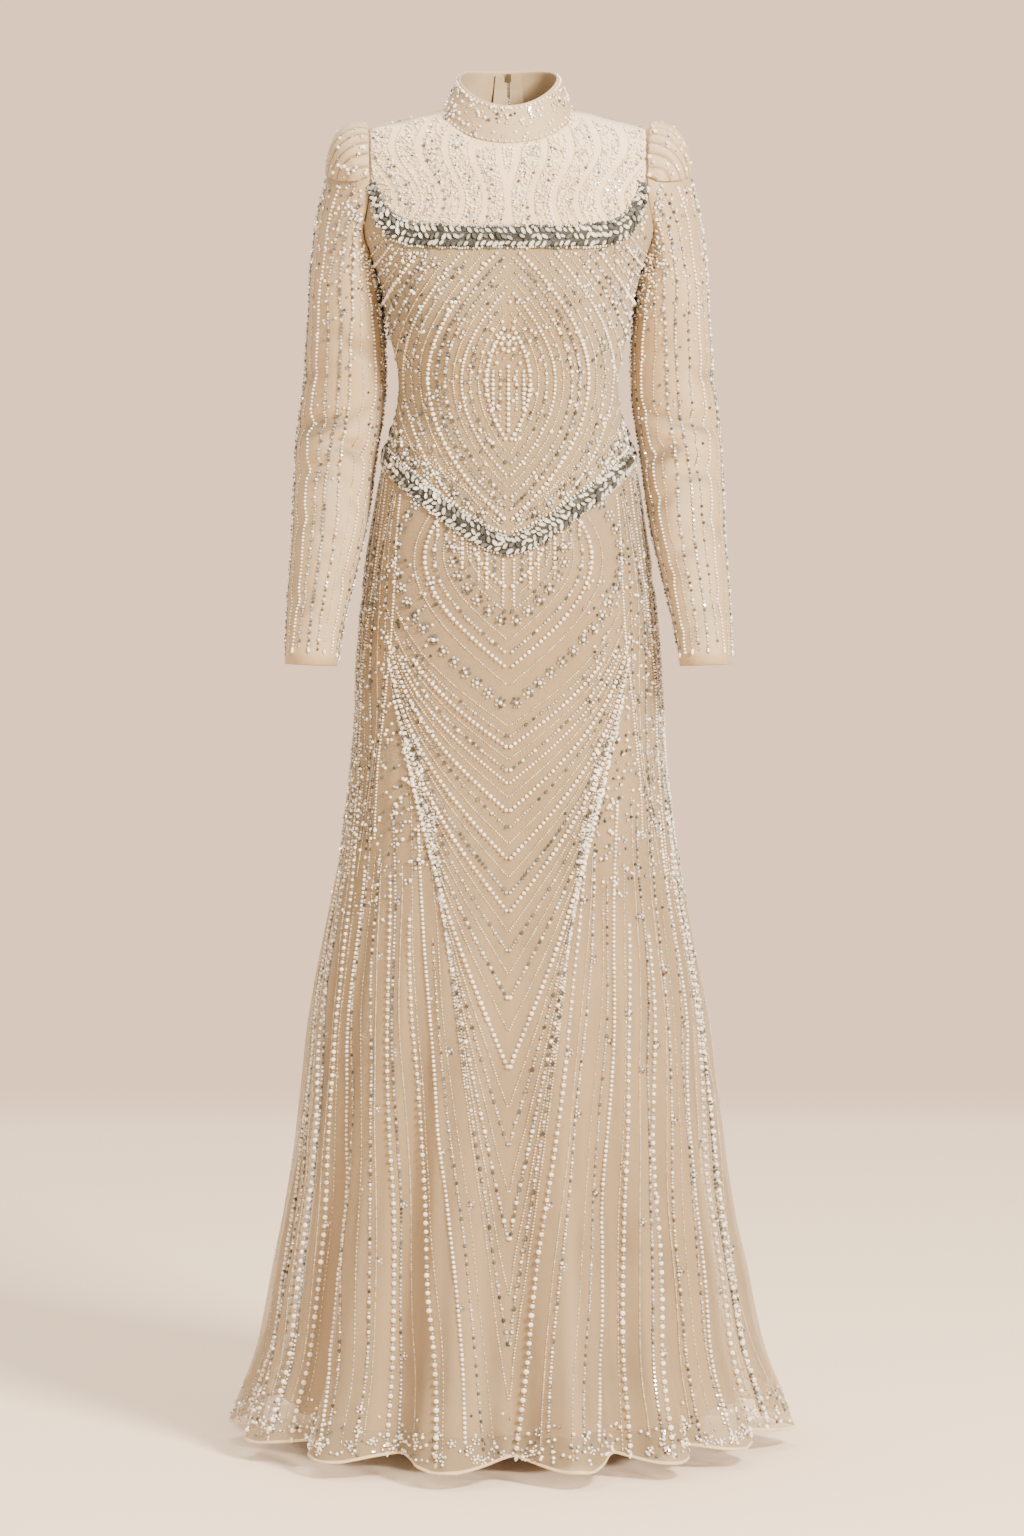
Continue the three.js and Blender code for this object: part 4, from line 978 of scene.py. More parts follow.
def cloth(name):
    """A cloth by its material's name, made on first use."""
    c = bpy.context.scene.gown_cloth
    tulle = {"weave": c.weave, "sheen": 0.25}
    satin = {"weave": c.weave * 0.8}
    # Cloths with a fold shade share get painted shade, darker in their troughs and creases.
    kinds = {
        "bodice_tulle": {**tulle, "color": c.net, "roughness": 0.55, "weave_depth": 0.25, "grain": 0.0030},
        "yoke_tulle": {**tulle, "color": c.yoke, "roughness": 0.5, "weave_depth": 0.2, "grain": 0.0024},
        "skirt_tulle": {
            "color": c.skirt, "roughness": 0.6, "weave": 0.0016, "weave_depth": 0.2, "alpha": c.net_cover,
            "fold_shade_share": 0.32,
        },
        "rolled_net": {
            "color": shade(c.yoke, 1.08), "roughness": 0.5, "weave": 0.0012, "weave_depth": 0.2, "sheen": 0.3,
            "alpha": 0.75,
        },
        "stone_ground": {
            "color": (0.04, 0.034, 0.025), "roughness": 0.45, "weave": 0.0014, "weave_depth": 0.2,
            "grain": 0.0022, "sheen": 0.1,
        },
        "satin": {**satin, "color": c.satin, "roughness": 0.38, "weave_depth": 0.12, "fold_shade_share": 0.6},
        "under_satin": {**satin, "color": c.lining, "roughness": 0.42, "weave_depth": 0.1, "fold_shade_share": 0.8},
        "zip_tape": {
            "color": c.satin, "roughness": 0.6, "weave": 0.0009, "weave_depth": 0.2, "place_by": "Object",
        },
    }
    return bpy.data.materials.get(name) or cloth_material(name, **kinds[name])


def finish_of(kind):
    """The finish of a kind of bead, made on first use."""
    name = FINISH_OF[kind]
    color = ZIP_COLOR if name == "zip_coil" else getattr(bpy.context.scene.gown_beads, name)
    return bpy.data.materials.get(name) or bead_material(name, color, **FINISHES[name])


def satin_gold():
    n = Nodes("satin_gold")
    place = n.add("ShaderNodeTexCoord").outputs["Object"]
    brushed = n.add("ShaderNodeMapping", {"Vector": place, "Scale": (900, 900, 60)}).outputs["Vector"]
    noise = n.add("ShaderNodeTexNoise", {"Vector": brushed, "Scale": 1.0, "Detail": 2.0}).outputs["Fac"]
    n.wire(n.ramp(noise, [(0.3, (0.58, 0.43, 0.22)), (0.7, (0.76, 0.62, 0.38))]), "Base Color")
    rough = n.add("ShaderNodeMapRange", {"Value": noise, "To Min": 0.22, "To Max": 0.42})
    n.wire(rough.outputs[0], "Roughness")
    n.wire(n.add("ShaderNodeBump", {"Height": noise, "Distance": 0.00004}).outputs["Normal"], "Normal")
    n.set(Metallic=1.0)
    return n.material


# ---- operators --------------------------------------------------------------------------------------------
class GOWN_OT_bodice(bpy.types.Operator):
    """Make the yoke, the bodice's panels and the backs"""

    bl_idname = "gown.bodice"
    bl_label = "Bodice"

    def execute(self, context):
        high = lambda u: np.full(np.shape(u), float(YOKE_RISE))
        neck = lambda u: neckline_height(u) - SEAM
        above = lambda u: neckline_height(u) + SEAM
        front = lambda u: waist_height(-1, u) + SEAM
        back = lambda u: waist_height(1, u) + SEAM
        p, s = PRINCESS_SEAM, SEAM_SHARE
        pieces = [
            panel("yoke", -1, (-1, 1), above, high, (90, 36), cloth("yoke_tulle")),
            panel("bodice_middle", -1, (-p + s, p - s), front, neck, (54, 64), cloth("bodice_tulle")),
            panel("bodice_left", -1, (p + s, 1), front, neck, (22, 64), cloth("bodice_tulle")),
            panel("bodice_right", -1, (-1, -p - s), front, neck, (22, 64), cloth("bodice_tulle")),
            panel("back_of_left", 1, (OPENING_SHARE, 1), back, high, (42, 80), cloth("bodice_tulle")),
            panel("back_of_right", 1, (-1, -OPENING_SHARE), back, high, (42, 80), cloth("bodice_tulle")),
        ]
        nodes = [
            "yoke_front", "bodice_front", "bodice_side_left", "bodice_side_right", "back_left", "back_right",
        ]
        for piece, node in zip(pieces, nodes):
            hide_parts(node)
        return {"FINISHED"}


class GOWN_OT_skirt(bpy.types.Operator):
    """Make the sheer outer skirt and the opaque underskirt"""

    bl_idname = "gown.skirt"
    bl_label = "Skirt"

    def execute(self, context):
        under_hem = lambda u: np.full(np.shape(u), float(HEM + UNDERSKIRT["hem_rise"]))
        edge = {side: (lambda u, side=side: waist_height(side, u) - SEAM) for side in (-1, 1)}
        s = SEAM_SHARE
        for name, side, ends, size in (
            ("front", -1, (-1, 1), (168, 62)),
            ("back_left", 1, (s, 1), (84, 62)),
            ("back_right", 1, (-1, -s), (84, 62)),
        ):
            hem = lambda u, side=side: hem_height(side, u)
            turned = lambda u, side=side: hem_height(side, u) + FLUTE["roll"]
            net = cloth("skirt_tulle")
            outer = panel(f"net_skirt_{name}", side, ends, hem, edge[side], size, net, thick=0)
            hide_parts(f"skirt_{name}")
            fine = (size[0] * 2, 2)
            roll = panel(f"rolled_hem_{name}", side, ends, hem, turned, fine, cloth("rolled_net"), inset=-0.5)
            size = (size[0] * 2 // 3, 36)
            under = panel(
                f"satin_underskirt_{name}", side, ends, under_hem, edge[side], size, cloth("under_satin"),
                "underskirt", UNDERSKIRT["inset"],
            )
            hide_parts(f"underskirt_{name}")
        return {"FINISHED"}


class GOWN_OT_sleeves(bpy.types.Operator):
    """Make the long sleeves and the gathered caps over their heads"""

    bl_idname = "gown.sleeves"
    bl_label = "Sleeves and caps"

    def execute(self, context):
        for name, sign in (("left", 1), ("right", -1)):
            flip = np.array([sign, 1, 1])
            tube = cloth_grid(
                f"satin_sleeve_{name}", 48, 92, lambda s, t: sleeve(s, 2 * (1 - t)) * flip, cloth("satin"),
                closed=True,
                # Painted shade: the satin is darker in the sleeve's creases and lighter on its ridges.
                fold=lambda s, t: -crease_depth(SLEEVE_CREASES, s * 360, sleeve(s, 2 * (1 - t))[..., 2]) / 3,
            )
            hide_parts(f"sleeve_{name}")
            reach = CAP["reach"] / 360
            puff = cloth_grid(
                f"gathered_cap_{name}", 150, 26, lambda s, t: cap((2 * s - 1) * reach, 1 - t) * flip,
                cloth("satin"),
                # Painted shade: the cap's tucks are darker and its gathered ridges lighter.
                fold=lambda s, t: 2 * gather((2 * s - 1) * reach, 1 - t) - 1.2,
            )
            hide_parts(f"cap_{name}")
        return {"FINISHED"}


class GOWN_OT_collar(bpy.types.Operator):
    """Make the stand collar with its turned top edge"""

    bl_idname = "gown.collar"
    bl_label = "Collar"

    def execute(self, context):
        opening = OPENING / COLLAR["girth"]
        thick = COLLAR["thick"]
        outer, inner = COLLAR["faces"]  # shares of the strip where its outer face ends and the inner starts

        def place(s, t):
            turn = opening + (1 - 2 * opening) * s
            out, over = np.minimum(t / outer, 1), np.clip((t - outer) / 0.1, 0, 1)
            back = np.clip((t - inner) / outer, 0, 1)
            points = collar(turn, np.where(t < 0.5, out, 1 - back))
            inward = unit(np.stack([-points[:, 0], COLLAR["y"] - points[:, 1], 0 * s], -1))
            points = points + inward * (thick / 2 * (1 - np.cos(np.pi * over)))[:, None]
            points[:, 2] += thick / 2 * np.sin(np.pi * over)
            return points

        ring = cloth_grid("stand_collar", 100, 40, place, cloth("satin"), thick=0)
        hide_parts("collar")
        return {"FINISHED"}


class GOWN_OT_skirt_beads(bpy.types.Operator):
    """Thread the skirt: chevrons down the middle, strings that fan out to the hem, arches under the waist"""

    bl_idname = "gown.skirt_beads"
    bl_label = "Skirt beadwork"

    def execute(self, context):
        lines = {-1: context.scene.gown_beads.hem_lines // 2, 1: context.scene.gown_beads.hem_lines // 3}
        for region, side, seed in (("skirt_front", -1, 11), ("skirt_back", 1, 12)):
            beads = Beadwork(seed)
            self.chevrons(beads, side)
            self.hem_strings(beads, side, lines[side])
            self.arches(beads, side)
            self.hips(beads, side)
            self.hem_edge(beads, side)
            beads.finish(region)
        return {"FINISHED"}

    @staticmethod
    def path(side, angle, z):
        """Path over the front or back, from angles measured off its middle."""
        return around(angle if side < 0 else np.sign(angle) * (180 - np.abs(angle)), z)

    def chevrons(self, beads, side):
        first = CHEVRONS["apex"][0]
        rows = list(zip(CHEVRONS["apex"], CHEVRONS["style"]))[:: 1 if side < 0 else 2]
        for number, (apex, style) in enumerate(rows):
            low = (first - apex) / (first - CHEVRONS["apex"][-1])
            slope = 0.1 + 1.3 * math.exp(-(((first - apex) / 290) ** 1.3))
            z = np.arange(apex, -540 - 25 * (number % 3), 2.5)
            x = 150 * np.tanh(slope * (z - apex) / 150) + 0.5
            keep = x < 142 + 5 * (number % 3) - 66 * low
            mirrored(beads, side, x[keep], z[keep], style, 0.95 + 0.25 * low)

    def hem_strings(self, beads, side, lines):
        hip = -785
        for number in range(2 * lines):
            sign = 1 if number < lines else -1
            place = number % lines
            share = math.sin(math.radians((place + 0.5 + 0.3 * math.sin(number * 2.4)) * 90 / lines))
            style = HEM_STYLES[(place + (0 if sign > 0 else 3)) % len(HEM_STYLES)]
            low_end = -LENGTH + (15 if style == "bold" else 11 + 9 * (number % 3))
            top = hip + 45 * math.sin(number * 1.7) - (70 if number % 3 == 1 else 0)
            z = np.arange(low_end, top, 2.5)
            t = (z + LENGTH) / (hip + LENGTH)
            risen = min(0.46 + 0.56 * share, 0.975)
            half = column(BODY, "z", "w", z)
            x = half * np.clip(share + (risen - share) * t**1.25, 0.004, 0.98) + 1.3 * np.sin(z / 47 + number)
            points, normals = facing(side, sign * x, z)
            more = 0.5 if style == "bold" else 0.2
            beads.string(
                (points, normals), style,
                lambda at, more=more: 0.78 + more * ((hip - at) / (hip + LENGTH)).clip(0, 1) ** 0.9,
            )
            if len(points) and style == "bold":
                beads.scatter((points[:1] - [0, 0, 7.0], normals[:1]), (1, "drop", 5.8))
            spots = np.arange(40 + 17 * (number % 5), len(points) - 10, 66)
            if number % 2 == 0 and len(spots):
                beads.flowers(upright((points[spots] + [3.0, 0, 0], normals[spots])), 4.4, 5)

    def arches(self, beads, side):
        for apex, wide, style in zip(ARCHES["apex"], ARCHES["wide"], ARCHES["style"]):
            z = np.arange(apex, -380, 2.0)
            x = wide * np.sin(np.pi / 2 * (z - apex) / (1.32 * wide))
            x = np.where(z - apex < 2.6 * wide, x, 0)
            keep = (z < waist_line(side, x) - 13) & (x > 0.2)
            if side > 0:
                keep &= x > 3
            if style == "flowers":
                for sign in (1, -1):
                    beads.flowers(spaced(facing(side, sign * x[keep], z[keep]), 17.0), 6.2)
            else:
                mirrored(beads, side, x[keep], z[keep], style)
        for x in range(6, 84, 9):
            top = waist_line(side, x) - 14
            z = np.arange(top, top - 26 - 34 * (1 - x / 90) * (0.6 + 0.4 * math.cos(x)), -2.0)
            style = ("small_pearls", "glints", "pearls")[(x // 9) % 3]
            mirrored(beads, side, np.full(len(z), float(x)), z, style, 0.9)

    def hips(self, beads, side):
        for number in range(11):
            foot = 52 + 3.7 * number
            z = np.arange(-LENGTH + 14 if number in (7, 9) else -800 - 22 * (number % 3), -330, 3.0)
            angle = foot + 2.2 * np.sin((z + 470) / 55 + number)
            keep = z < waist_line(side, 140 * np.sin(np.radians(angle))) - 14
            for sign in (1, -1):
                path = self.path(side, sign * angle[keep], z[keep])
                beads.string(path, HIP_STYLES[number % len(HIP_STYLES)], 0.78)
        count = 130
        x = beads.random.choice([-1, 1], count) * (106 + 17 * beads.random.standard_normal(count))
        z = -762 + 42 * beads.random.standard_normal(count)
        beads.scatter(facing(side, x, z), (80, "crystal", 4.0), (None, "pearl", 4.8))
        count = 900
        angle = beads.random.uniform(27, 90, count) * beads.random.choice([-1, 1], count)
        z = -480 - 420 * beads.random.beta(1.4, 1.6, count)
        beads.scatter(self.path(side, angle, z), (count // 3, "pearl", 4.0), (None, "crystal", 3.7))

    def hem_edge(self, beads, side):
        count = 520
        angle = beads.random.uniform(-90, 90, count)
        z = -LENGTH + 9 + 62 * beads.random.beta(1.0, 2.8, count)
        points, normals = self.path(side, angle, z)
        beads.scatter((points, normals), (count // 2, "crystal", 3.6), (None, "pearl", 4.3))
        beads.flowers(upright((points[::9], normals[::9])), 5.0, 5, "crystal", "pearl")


class GOWN_OT_bodice_beads(bpy.types.Operator):
    """Thread the bodice: nested pointed ovals, a spray in the middle, and rows along the waist"""

    bl_idname = "gown.bodice_beads"
    bl_label = "Bodice beadwork"

    def execute(self, context):
        for region, side, seed in (("bodice", -1, 21), ("back", 1, 22)):
            beads = Beadwork(seed)
            self.ovals(beads, side)
            self.waist_rows(beads, side)
            self.scatter(beads, side)
            if side < 0:
                self.spray(beads)
            beads.finish(region)
        return {"FINISHED"}

    @staticmethod
    def ceiling(side, x):
        """Height that the bodice's beads reach: under the neckline's band, or the shoulders at the back."""
        return neckline_line(x) - 15 if side < 0 else np.full(np.shape(x), 20.0)

    def ovals(self, beads, side):
        for number in range(OVALS["count"]):
            wide = OVALS["wide"] + OVALS["step"] * number
            tall = OVALS["tall"] + OVALS["rise"] * number
            t = np.linspace(-1, 1, 260)
            x = wide * (1 - t * t)
            z = OVALS["middle"] + tall * t
            keep = (z < self.ceiling(side, x)) & (z > waist_line(side, x) + 15)
            keep &= x > (1.5 if side < 0 else 4)
            kept = np.flatnonzero(keep)
            for part in np.split(kept, np.flatnonzero(np.diff(kept) > 1) + 1):
                mirrored(beads, side, x[part], z[part], OVALS["style"][number % len(OVALS["style"])])

    def waist_rows(self, beads, side):
        x = np.arange(2.0 if side < 0 else 5.0, 150, 2.0)
        for above, style in ((15, "small_pearls"), (40, "seeds"), (44, "sparse_seeds")):
            mirrored(beads, side, x, waist_line(side, x) + above, style)
        for sign in (1, -1):
            beads.flowers(spaced(facing(side, sign * x, waist_line(side, x) + 27), 19.0), 6.2)

    def spray(self, beads):
        middle = -238.0
        for radius, count, kind, size in (
            (0, 1, "orb", 6.5), (8, 8, "orb", 5.0), (16, 10, "crystal", 4.2), (24, 11, "pearl", 4.6),
        ):
            a = 2 * np.pi * (np.arange(count) + 0.5 * (radius > 9)) / count
            ring = facing(-1, radius * np.sin(a) + 1e-3, middle + 1.1 * radius * np.cos(a))
            beads.scatter(ring, (None, kind, size))
        for x, style in ((0, "pearls"), (9, "mixed"), (17, "pearls"), (25, "mixed")):
            z = np.arange(middle - 30, middle - 108 + 1.7 * x, -2.0)
            for sign in (1, -1) if x else (1,):
                path = facing(-1, np.full(len(z), sign * x + 1e-3), z)
                beads.string(path, style, lambda at: 0.7 - (at - middle) / 260)

    def scatter(self, beads, side):
        count = 3600
        x = beads.random.uniform(-152, 152, count)
        z = beads.random.uniform(-440, -90 if side < 0 else 0, count)
        clear = (z > waist_line(side, x) + 14) & (z < self.ceiling(side, x))
        clear &= beads.random.random(count) < 0.16 + 0.84 * (np.abs(x) / 130) ** 2.6
        clear &= np.abs(x) > (0 if side < 0 else 5)
        path = facing(side, x[clear], z[clear])
        fifth = len(path[0]) // 5
        beads.scatter(path, (fifth, "pearl", 4.4), (3 * fifth, "crystal", 3.8), (None, "seed", 2.6))


class GOWN_OT_yoke_beads(bpy.types.Operator):
    """Thread the yoke's waved lanes, scatter beads between them and over the collar"""

    bl_idname = "gown.yoke_beads"
    bl_label = "Yoke and collar beadwork"

    @staticmethod
    def bend(x, z):
        """Sideways play of the yoke's lanes, stronger towards the shoulders."""
        return YOKE_LANES["wave"] * np.sin((z - YOKE_LANES["low"]) / YOKE_LANES["length"]) * (0.35 + x / 150)

    def execute(self, context):
        self.yoke()
        self.collar()
        return {"FINISHED"}

    def yoke(self):
        beads = Beadwork(31)
        z = np.arange(YOKE_LANES["low"], YOKE_LANES["high"], 1.5)
        for number in range(2 * YOKE_LANES["count"]):
            lane = (number // 2 + (YOKE_LANES["bare"] if number % 2 else 0)) * YOKE_LANES["pitch"]
            x = np.full(len(z), lane)
            for _ in range(6):
                x = lane - self.bend(x, z)
            keep = x > 1.5
            mirrored(beads, -1, x[keep], z[keep], YOKE_STYLES[number % len(YOKE_STYLES)], 0.9)
        count = 4400
        x = beads.random.uniform(-150, 150, count)
        z = beads.random.uniform(-106, 8, count)
        beaded = (np.abs(x) + self.bend(np.abs(x), z)) / YOKE_LANES["pitch"] % 1 > YOKE_LANES["bare"]
        beads.scatter(
            facing(-1, x[beaded], z[beaded]),
            (700, "pearl", 3.3), (1000, "crystal", 3.1), (None, "seed", 2.6),
        )
        beads.finish("yoke")

    def collar(self):
        beads = Beadwork(32)
        count = 320
        turn = beads.random.uniform(0.012, 0.988, count)
        rise = beads.random.uniform(0.05, 0.97, count)
        points = collar(turn, rise)
        normals = -normals_of(collar, turn, rise, 2e-3, 0.02, (0, 1))
        normals *= np.sign((normals[:, :2] * (points[:, :2] - [0, COLLAR["y"]])).sum(1))[:, None]
        half = count // 2
        runs = (half, "pearl", 3.7), (half + 90, "crystal", 3.6), (None, "seed", 2.5)
        beads.scatter((points, normals), *runs)
        turn = np.linspace(0.014, 0.986, 64)
        for rise, size in ((0.955, 3.1), (0.045, 2.8)):
            points = collar(turn, np.full(64, rise))
            outwards = unit(points - [0, COLLAR["y"], 0]) * [1, 1, 0]
            beads.add("pearl", points, outwards, np.gradient(points, axis=0), size)
        beads.finish("collar")


class GOWN_OT_sleeve_beads(bpy.types.Operator):
    """Thread the sleeves' long strings and scatter pearls over the caps and upper arms"""

    bl_idname = "gown.sleeve_beads"
    bl_label = "Sleeve beadwork"

    def execute(self, context):
        for name, sign, seed in (("left", 1, 41), ("right", -1, 42)):
            beads = Beadwork(seed)
            self.strings(beads, sign)
            self.arm(beads, sign)
            self.cap(beads, sign)
            beads.finish(f"sleeve_{name}")
        return {"FINISHED"}

    @staticmethod
    def under_cap(degrees):
        """Share of the way over the sleeve's head that a cap covers there."""
        return CAP["end"] * np.sqrt(np.clip(1 - (degrees / CAP["round"]) ** 2, 0, 1)) + 0.03

    def strings(self, beads, sign):
        for number in range(SLEEVE_STRINGS):
            middle = (number + 0.5) / SLEEVE_STRINGS
            degrees = abs((middle * 360 + 180) % 360 - 180)
            top = self.under_cap(degrees) if degrees < CAP["round"] - 1 else 0.12
            run = np.linspace(top, 1.985, 200)
            turn = middle + 0.006 * np.sin(run * 6 + number * 1.9) + 0.003 * np.sin(run * 17 + number)
            style = SLEEVE_STYLES[number % len(SLEEVE_STYLES)]
            beads.string(on_sleeve(turn, run, sign), style, np.linspace(1.0, 0.85, len(run)))
            if number % 2 == 0:
                beads.scatter(on_sleeve(turn[-1:], run[-1:] - 0.012, sign), (1, "drop", 4.6))

    def arm(self, beads, sign):
        count = 700
        turn = beads.random.random(count)
        run = 0.12 + 1.8 * beads.random.beta(1.0, 2.8, count)
        clear = run > self.under_cap(np.abs((turn * 360 + 180) % 360 - 180))
        path = on_sleeve(turn[clear], run[clear], sign)
        beads.scatter(path, (len(path[0]) // 2, "pearl", 3.6), (None, "crystal", 3.2))

    def cap(self, beads, sign):
        count = 85
        turn = beads.random.uniform(-CAP["reach"], CAP["reach"], count) / 360 * 0.97
        along = beads.random.beta(1.1, 1.3, count) * 0.94 + 0.03
        flip = np.array([sign, 1, 1])
        points = cap(turn, along) * flip
        normals = normals_of(cap, turn, along, 2e-3, 0.02, (0, 1)) * flip
        outwards = points - np.array([150 * sign, 0, -60])
        normals *= np.sign((normals * outwards).sum(1))[:, None]
        beads.scatter((points, normals), (45, "pearl", 4.6), (None, "seed", 2.4))


class GOWN_OT_bands(bpy.types.Operator):
    """Set the neckline and the waist with close rows of leaf-shaped stones on a dark ground"""

    bl_idname = "gown.bands"
    bl_label = "Stone bands"

    def execute(self, context):
        across = np.linspace(-0.97, 0.97, 240)
        neck = neckline_height(across)
        risen = np.clip(1.3 * (neck - neck.min()) / NECKLINE["rise"], 0, 1)
        neck_wide = BAND["neck_width"] + (BAND["neck_end"] - BAND["neck_width"]) * risen
        wide = np.full(240, float(BAND["waist_width"]))
        whole, half = np.linspace(-0.997, 0.997, 240), np.linspace(0.012, 0.997, 240)
        for name, side, u, h, width, seed in (
            ("neckline_band", -1, across, neck, neck_wide, 51),
            ("waist_band_front", -1, whole, waist_height(-1, whole), wide, 52),
            ("waist_band_back_left", 1, half, waist_height(1, half), wide, 53),
            ("waist_band_back_right", 1, -half[::-1], waist_height(1, half[::-1]), wide, 54),
        ):
            self.band(name, side, u, h, width, seed)
        return {"FINISHED"}

    def band(self, name, side, u, h, width, seed):
        points, normals = worn(side, u, h), body_normal(side, u, h)
        along = unit(np.gradient(points, axis=0))
        across = unit(np.cross(normals, along))
        length = lengths_along(points)

        def at(where, offset, lift):
            p, n, t, c = sampled(where, length, points, normals, along, across)
            return p + c * np.asarray(offset)[..., None] + n * np.asarray(lift)[..., None], n, t

        def ground(s, t):
            half = np.interp(s * length[-1], length, width) / 2
            share = 2 * t - 1
            wave = 0.9 + 0.1 * np.sin(s * length[-1] / 2.1)
            return at(s * length[-1], share * half * wave, BAND["gap"] + BAND["back"] * (1 - share**4))[0]

        strip = cloth_grid(f"{name}_ground", 200, 8, ground, cloth("stone_ground"), thick=0.6)
        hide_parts(name)
        beads = Beadwork(seed)
        for row, share, lift in ((-1, 0.62, 1.9), (0, 0.0, 3.2), (1, 0.62, 1.9)):
            where = np.arange(3.5 + 2.2 * (row + 1), length[-1] - 3, 6.6)
            where = where + beads.random.uniform(-0.9, 0.9, len(where))
            half = np.interp(where, length, width) / 2
            offset = row * share * half + beads.random.uniform(-1, 1, len(where))
            place, normal, course = at(where, offset, lift + beads.random.uniform(-0.3, 0.5, len(where)))
            turn = row * 0.75 + beads.random.uniform(-0.35, 0.35, len(where))
            if row == 0:
                turn = beads.random.choice([-1.1, -0.6, 0.5, 1.0], len(where))
            beads.add("navette", place, normal, course, beads.random.uniform(7.0, 8.8, len(where)), turn, 0.1)
        where = np.arange(2, length[-1] - 1, 3.1)
        for row in (-1, 1):
            half = np.interp(where, length, width) / 2
            jitter = beads.random.uniform(-1.2, 1.0, len(where))
            place, normal, course = at(where, row * (half + jitter), 1.3)
            small = beads.random.random(len(where)) < 0.5
            beads.add("crystal", place[small], normal[small], course[small], 3.0)
            beads.add("round", place[~small], normal[~small], course[~small], 3.6)
        beads.finish(name)


class GOWN_OT_zip(bpy.types.Operator):
    """Lay the zip's small teeth between its tapes, and give tapes, slider and pull their finish"""

    bl_idname = "gown.zip"
    bl_label = "Zip"

    def execute(self, context):
        z = np.arange(ZIP["low"], ZIP["high"], ZIP["pitch"])
        deep, shallow = ZIP["step"]
        inset = ZIP["skirt"] + (ZIP["bodice"] - ZIP["skirt"]) * smooth((z - deep) / (shallow - deep))
        back = np.tile([0.0, 1.0, 0.0], (len(z), 1))
        rows = [body(1, 0.0 * z, height_of(1, 0 * z, z)) - back * (inset - ZIP["proud"])[:, None]]
        rise = collar(0.0, 1.0)[2] - collar(0.0, 0.0)[2]
        up = np.arange(*ZIP_ON_COLLAR["up"], ZIP["pitch"] / rise)
        rows.append(collar(0 * up, up) - np.array([0, ZIP_ON_COLLAR["inset"] - ZIP["proud"], 0]))
        points = np.concatenate(rows)
        points[:, 0] = np.where(np.arange(len(points)) % 2, 0.55, -0.55)
        beads = Beadwork(61)
        normals = np.tile([0.0, 1.0, 0.0], (len(points), 1))
        beads.add("tooth", points, normals, np.gradient(points, axis=0) * [0, 1, 1], ZIP["pitch"], 0.0, 0.0)
        beads.finish("zip")
        for nodes, material in (
            (("zip_tape_left", "zip_tape_right"), cloth("zip_tape")),
            (("zip_slider", "zip_pull"), satin_gold()),
        ):
            for node in nodes:
                for slot in bpy.data.objects[node].material_slots:
                    slot.material = material
        return {"FINISHED"}


# Half sizes, drop below the hem in mm and width of the soft far edge.
FLOOR = {"half": (9, 5.48), "below_hem": 19, "fade": 0.32}
# Place, size and power of each lamp.
LAMPS = {
    "key": ((2.2, -2.8, 1.6), 1.0, 560),
    "fill": ((-3.0, -2.4, 0.4), 2.4, 50),
    "top": ((-0.3, 0.6, 2.4), 1.6, 130),
}
LAMP_COLOR = (1.0, 0.94, 0.84)
AIM = (0.0039, 0, -0.732)  # what lamps and camera point at
SENSOR = 36
FARTHEST = 200


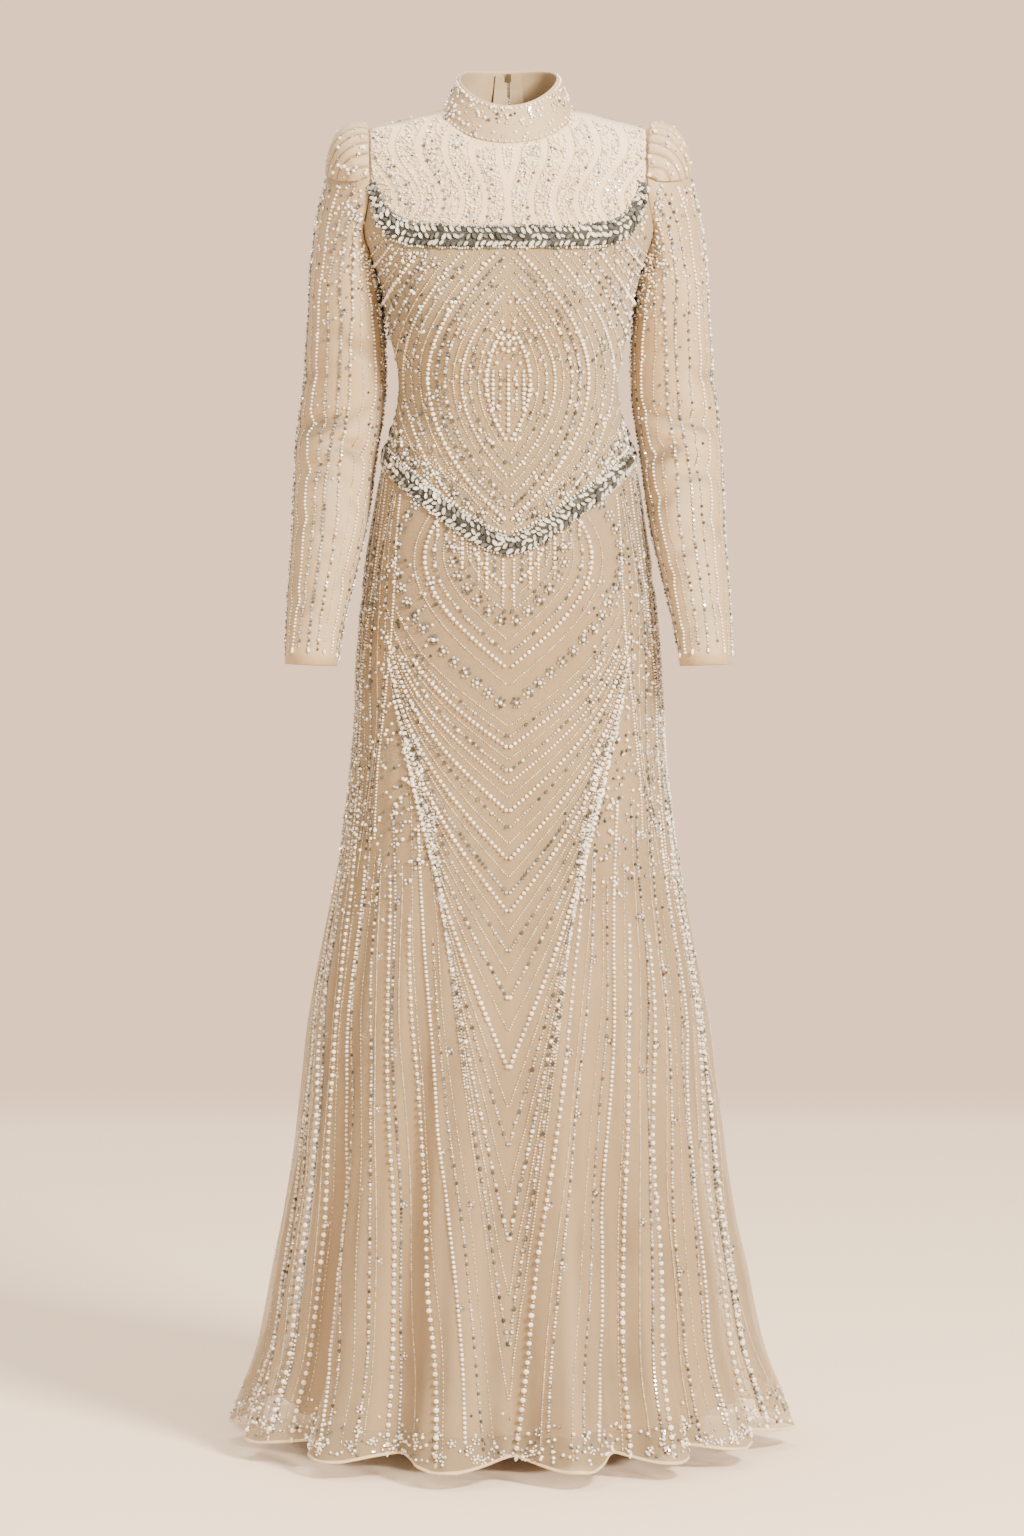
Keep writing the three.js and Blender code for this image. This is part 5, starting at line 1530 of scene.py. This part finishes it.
class GOWN_OT_stage(bpy.types.Operator):
    """Set the floor, the backdrop, the lights and the camera"""

    bl_idname = "gown.stage"
    bl_label = "Stage"

    def execute(self, context):
        s = context.scene.gown_stage
        bm = bmesh.new()
        bmesh.ops.create_grid(bm, x_segments=1, y_segments=1, size=1)
        bmesh.ops.scale(bm, vec=(*FLOOR["half"], 1), verts=bm.verts)
        middle = (0, s.far_edge - FLOOR["half"][1], -(LENGTH + FLOOR["below_hem"]) * MM)
        bmesh.ops.translate(bm, vec=middle, verts=bm.verts)
        mesh = bpy.data.meshes.new("floor")
        bm.to_mesh(mesh)
        bm.free()
        floor = bpy.data.objects.new("floor", mesh)
        context.scene.collection.objects.link(floor)
        n = Nodes("floor_paint")
        n.set(Base_Color=(*s.floor, 1), Roughness=0.55)
        place = n.add("ShaderNodeTexCoord").outputs["Object"]
        across = n.add("ShaderNodeSeparateXYZ", {0: place}).outputs["Y"]
        fade = n.add("ShaderNodeMapRange", {
            "Value": across, "From Min": s.far_edge - FLOOR["fade"], "From Max": s.far_edge, "To Min": 1.0,
            "To Max": 0.0,
        }, interpolation_type="SMOOTHSTEP")
        n.wire(fade.outputs[0], "Alpha")
        mesh.materials.append(n.material)

        world = bpy.data.worlds.new("backdrop")
        world.use_nodes = True
        nodes, links = world.node_tree.nodes, world.node_tree.links
        room, wall = nodes["Background"], nodes.new("ShaderNodeBackground")
        mix, seen = nodes.new("ShaderNodeMixShader"), nodes.new("ShaderNodeLightPath")
        for node, color, strength in ((room, s.daylight, s.ambient), (wall, s.wall, s.wall_strength)):
            node.inputs["Color"].default_value = (*color, 1)
            node.inputs["Strength"].default_value = strength
        links.new(seen.outputs["Is Camera Ray"], mix.inputs["Fac"])
        links.new(room.outputs[0], mix.inputs[1])
        links.new(wall.outputs[0], mix.inputs[2])
        links.new(mix.outputs[0], nodes["World Output"].inputs["Surface"])
        context.scene.world = world

        aim = Vector(AIM)
        for name, (spot, size, power) in LAMPS.items():
            light = bpy.data.lights.new(name, "AREA")
            light.size, light.energy, light.color = size, power, LAMP_COLOR
            lamp = bpy.data.objects.new(name, light)
            lamp.location = spot
            lamp.rotation_euler = (aim - lamp.location).to_track_quat("-Z", "Y").to_euler()
            context.scene.collection.objects.link(lamp)

        camera = bpy.data.cameras.new("camera")
        back = Vector((0, -math.cos(s.elevation), math.sin(s.elevation)))
        camera.sensor_width = SENSOR
        camera.lens = SENSOR * s.distance / s.framed
        camera.clip_end = FARTHEST
        holder = bpy.data.objects.new("camera", camera)
        holder.location = aim + back * s.distance
        holder.rotation_euler = (-back).to_track_quat("-Z", "Y").to_euler()
        context.scene.collection.objects.link(holder)
        context.scene.camera = holder
        return {"FINISHED"}


class GOWN_PT_panel(bpy.types.Panel):
    """Steps that dress the gown"""

    bl_idname = "GOWN_PT_panel"
    bl_label = "Gown"
    bl_space_type = "VIEW_3D"
    bl_region_type = "UI"
    bl_category = "Gown"

    def draw(self, context):
        for step in STEPS:
            self.layout.operator(step.bl_idname)
        for settings in (context.scene.gown_cloth, context.scene.gown_beads, context.scene.gown_stage):
            for name in settings.bl_rna.properties.keys():
                if name not in ("rna_type", "name"):
                    self.layout.prop(settings, name)


STEPS = (
    GOWN_OT_bodice, GOWN_OT_skirt, GOWN_OT_sleeves, GOWN_OT_collar, GOWN_OT_bands, GOWN_OT_zip,
    GOWN_OT_bodice_beads, GOWN_OT_yoke_beads, GOWN_OT_skirt_beads, GOWN_OT_sleeve_beads, GOWN_OT_stage,
)
SETTINGS = {"gown_cloth": GownClothSettings, "gown_beads": GownBeadSettings, "gown_stage": GownStageSettings}


def register():
    for cls in (*SETTINGS.values(), *STEPS, GOWN_PT_panel):
        bpy.utils.register_class(cls)
    for name, cls in SETTINGS.items():
        setattr(bpy.types.Scene, name, PointerProperty(type=cls))


def unregister():
    for name in SETTINGS:
        delattr(bpy.types.Scene, name)
    for cls in (GOWN_PT_panel, *reversed(STEPS), *SETTINGS.values()):
        bpy.utils.unregister_class(cls)


def main():
    register()
    for step in STEPS:
        group, name = step.bl_idname.split(".")
        getattr(getattr(bpy.ops, group), name)()


if __name__ == "__main__":
    main()
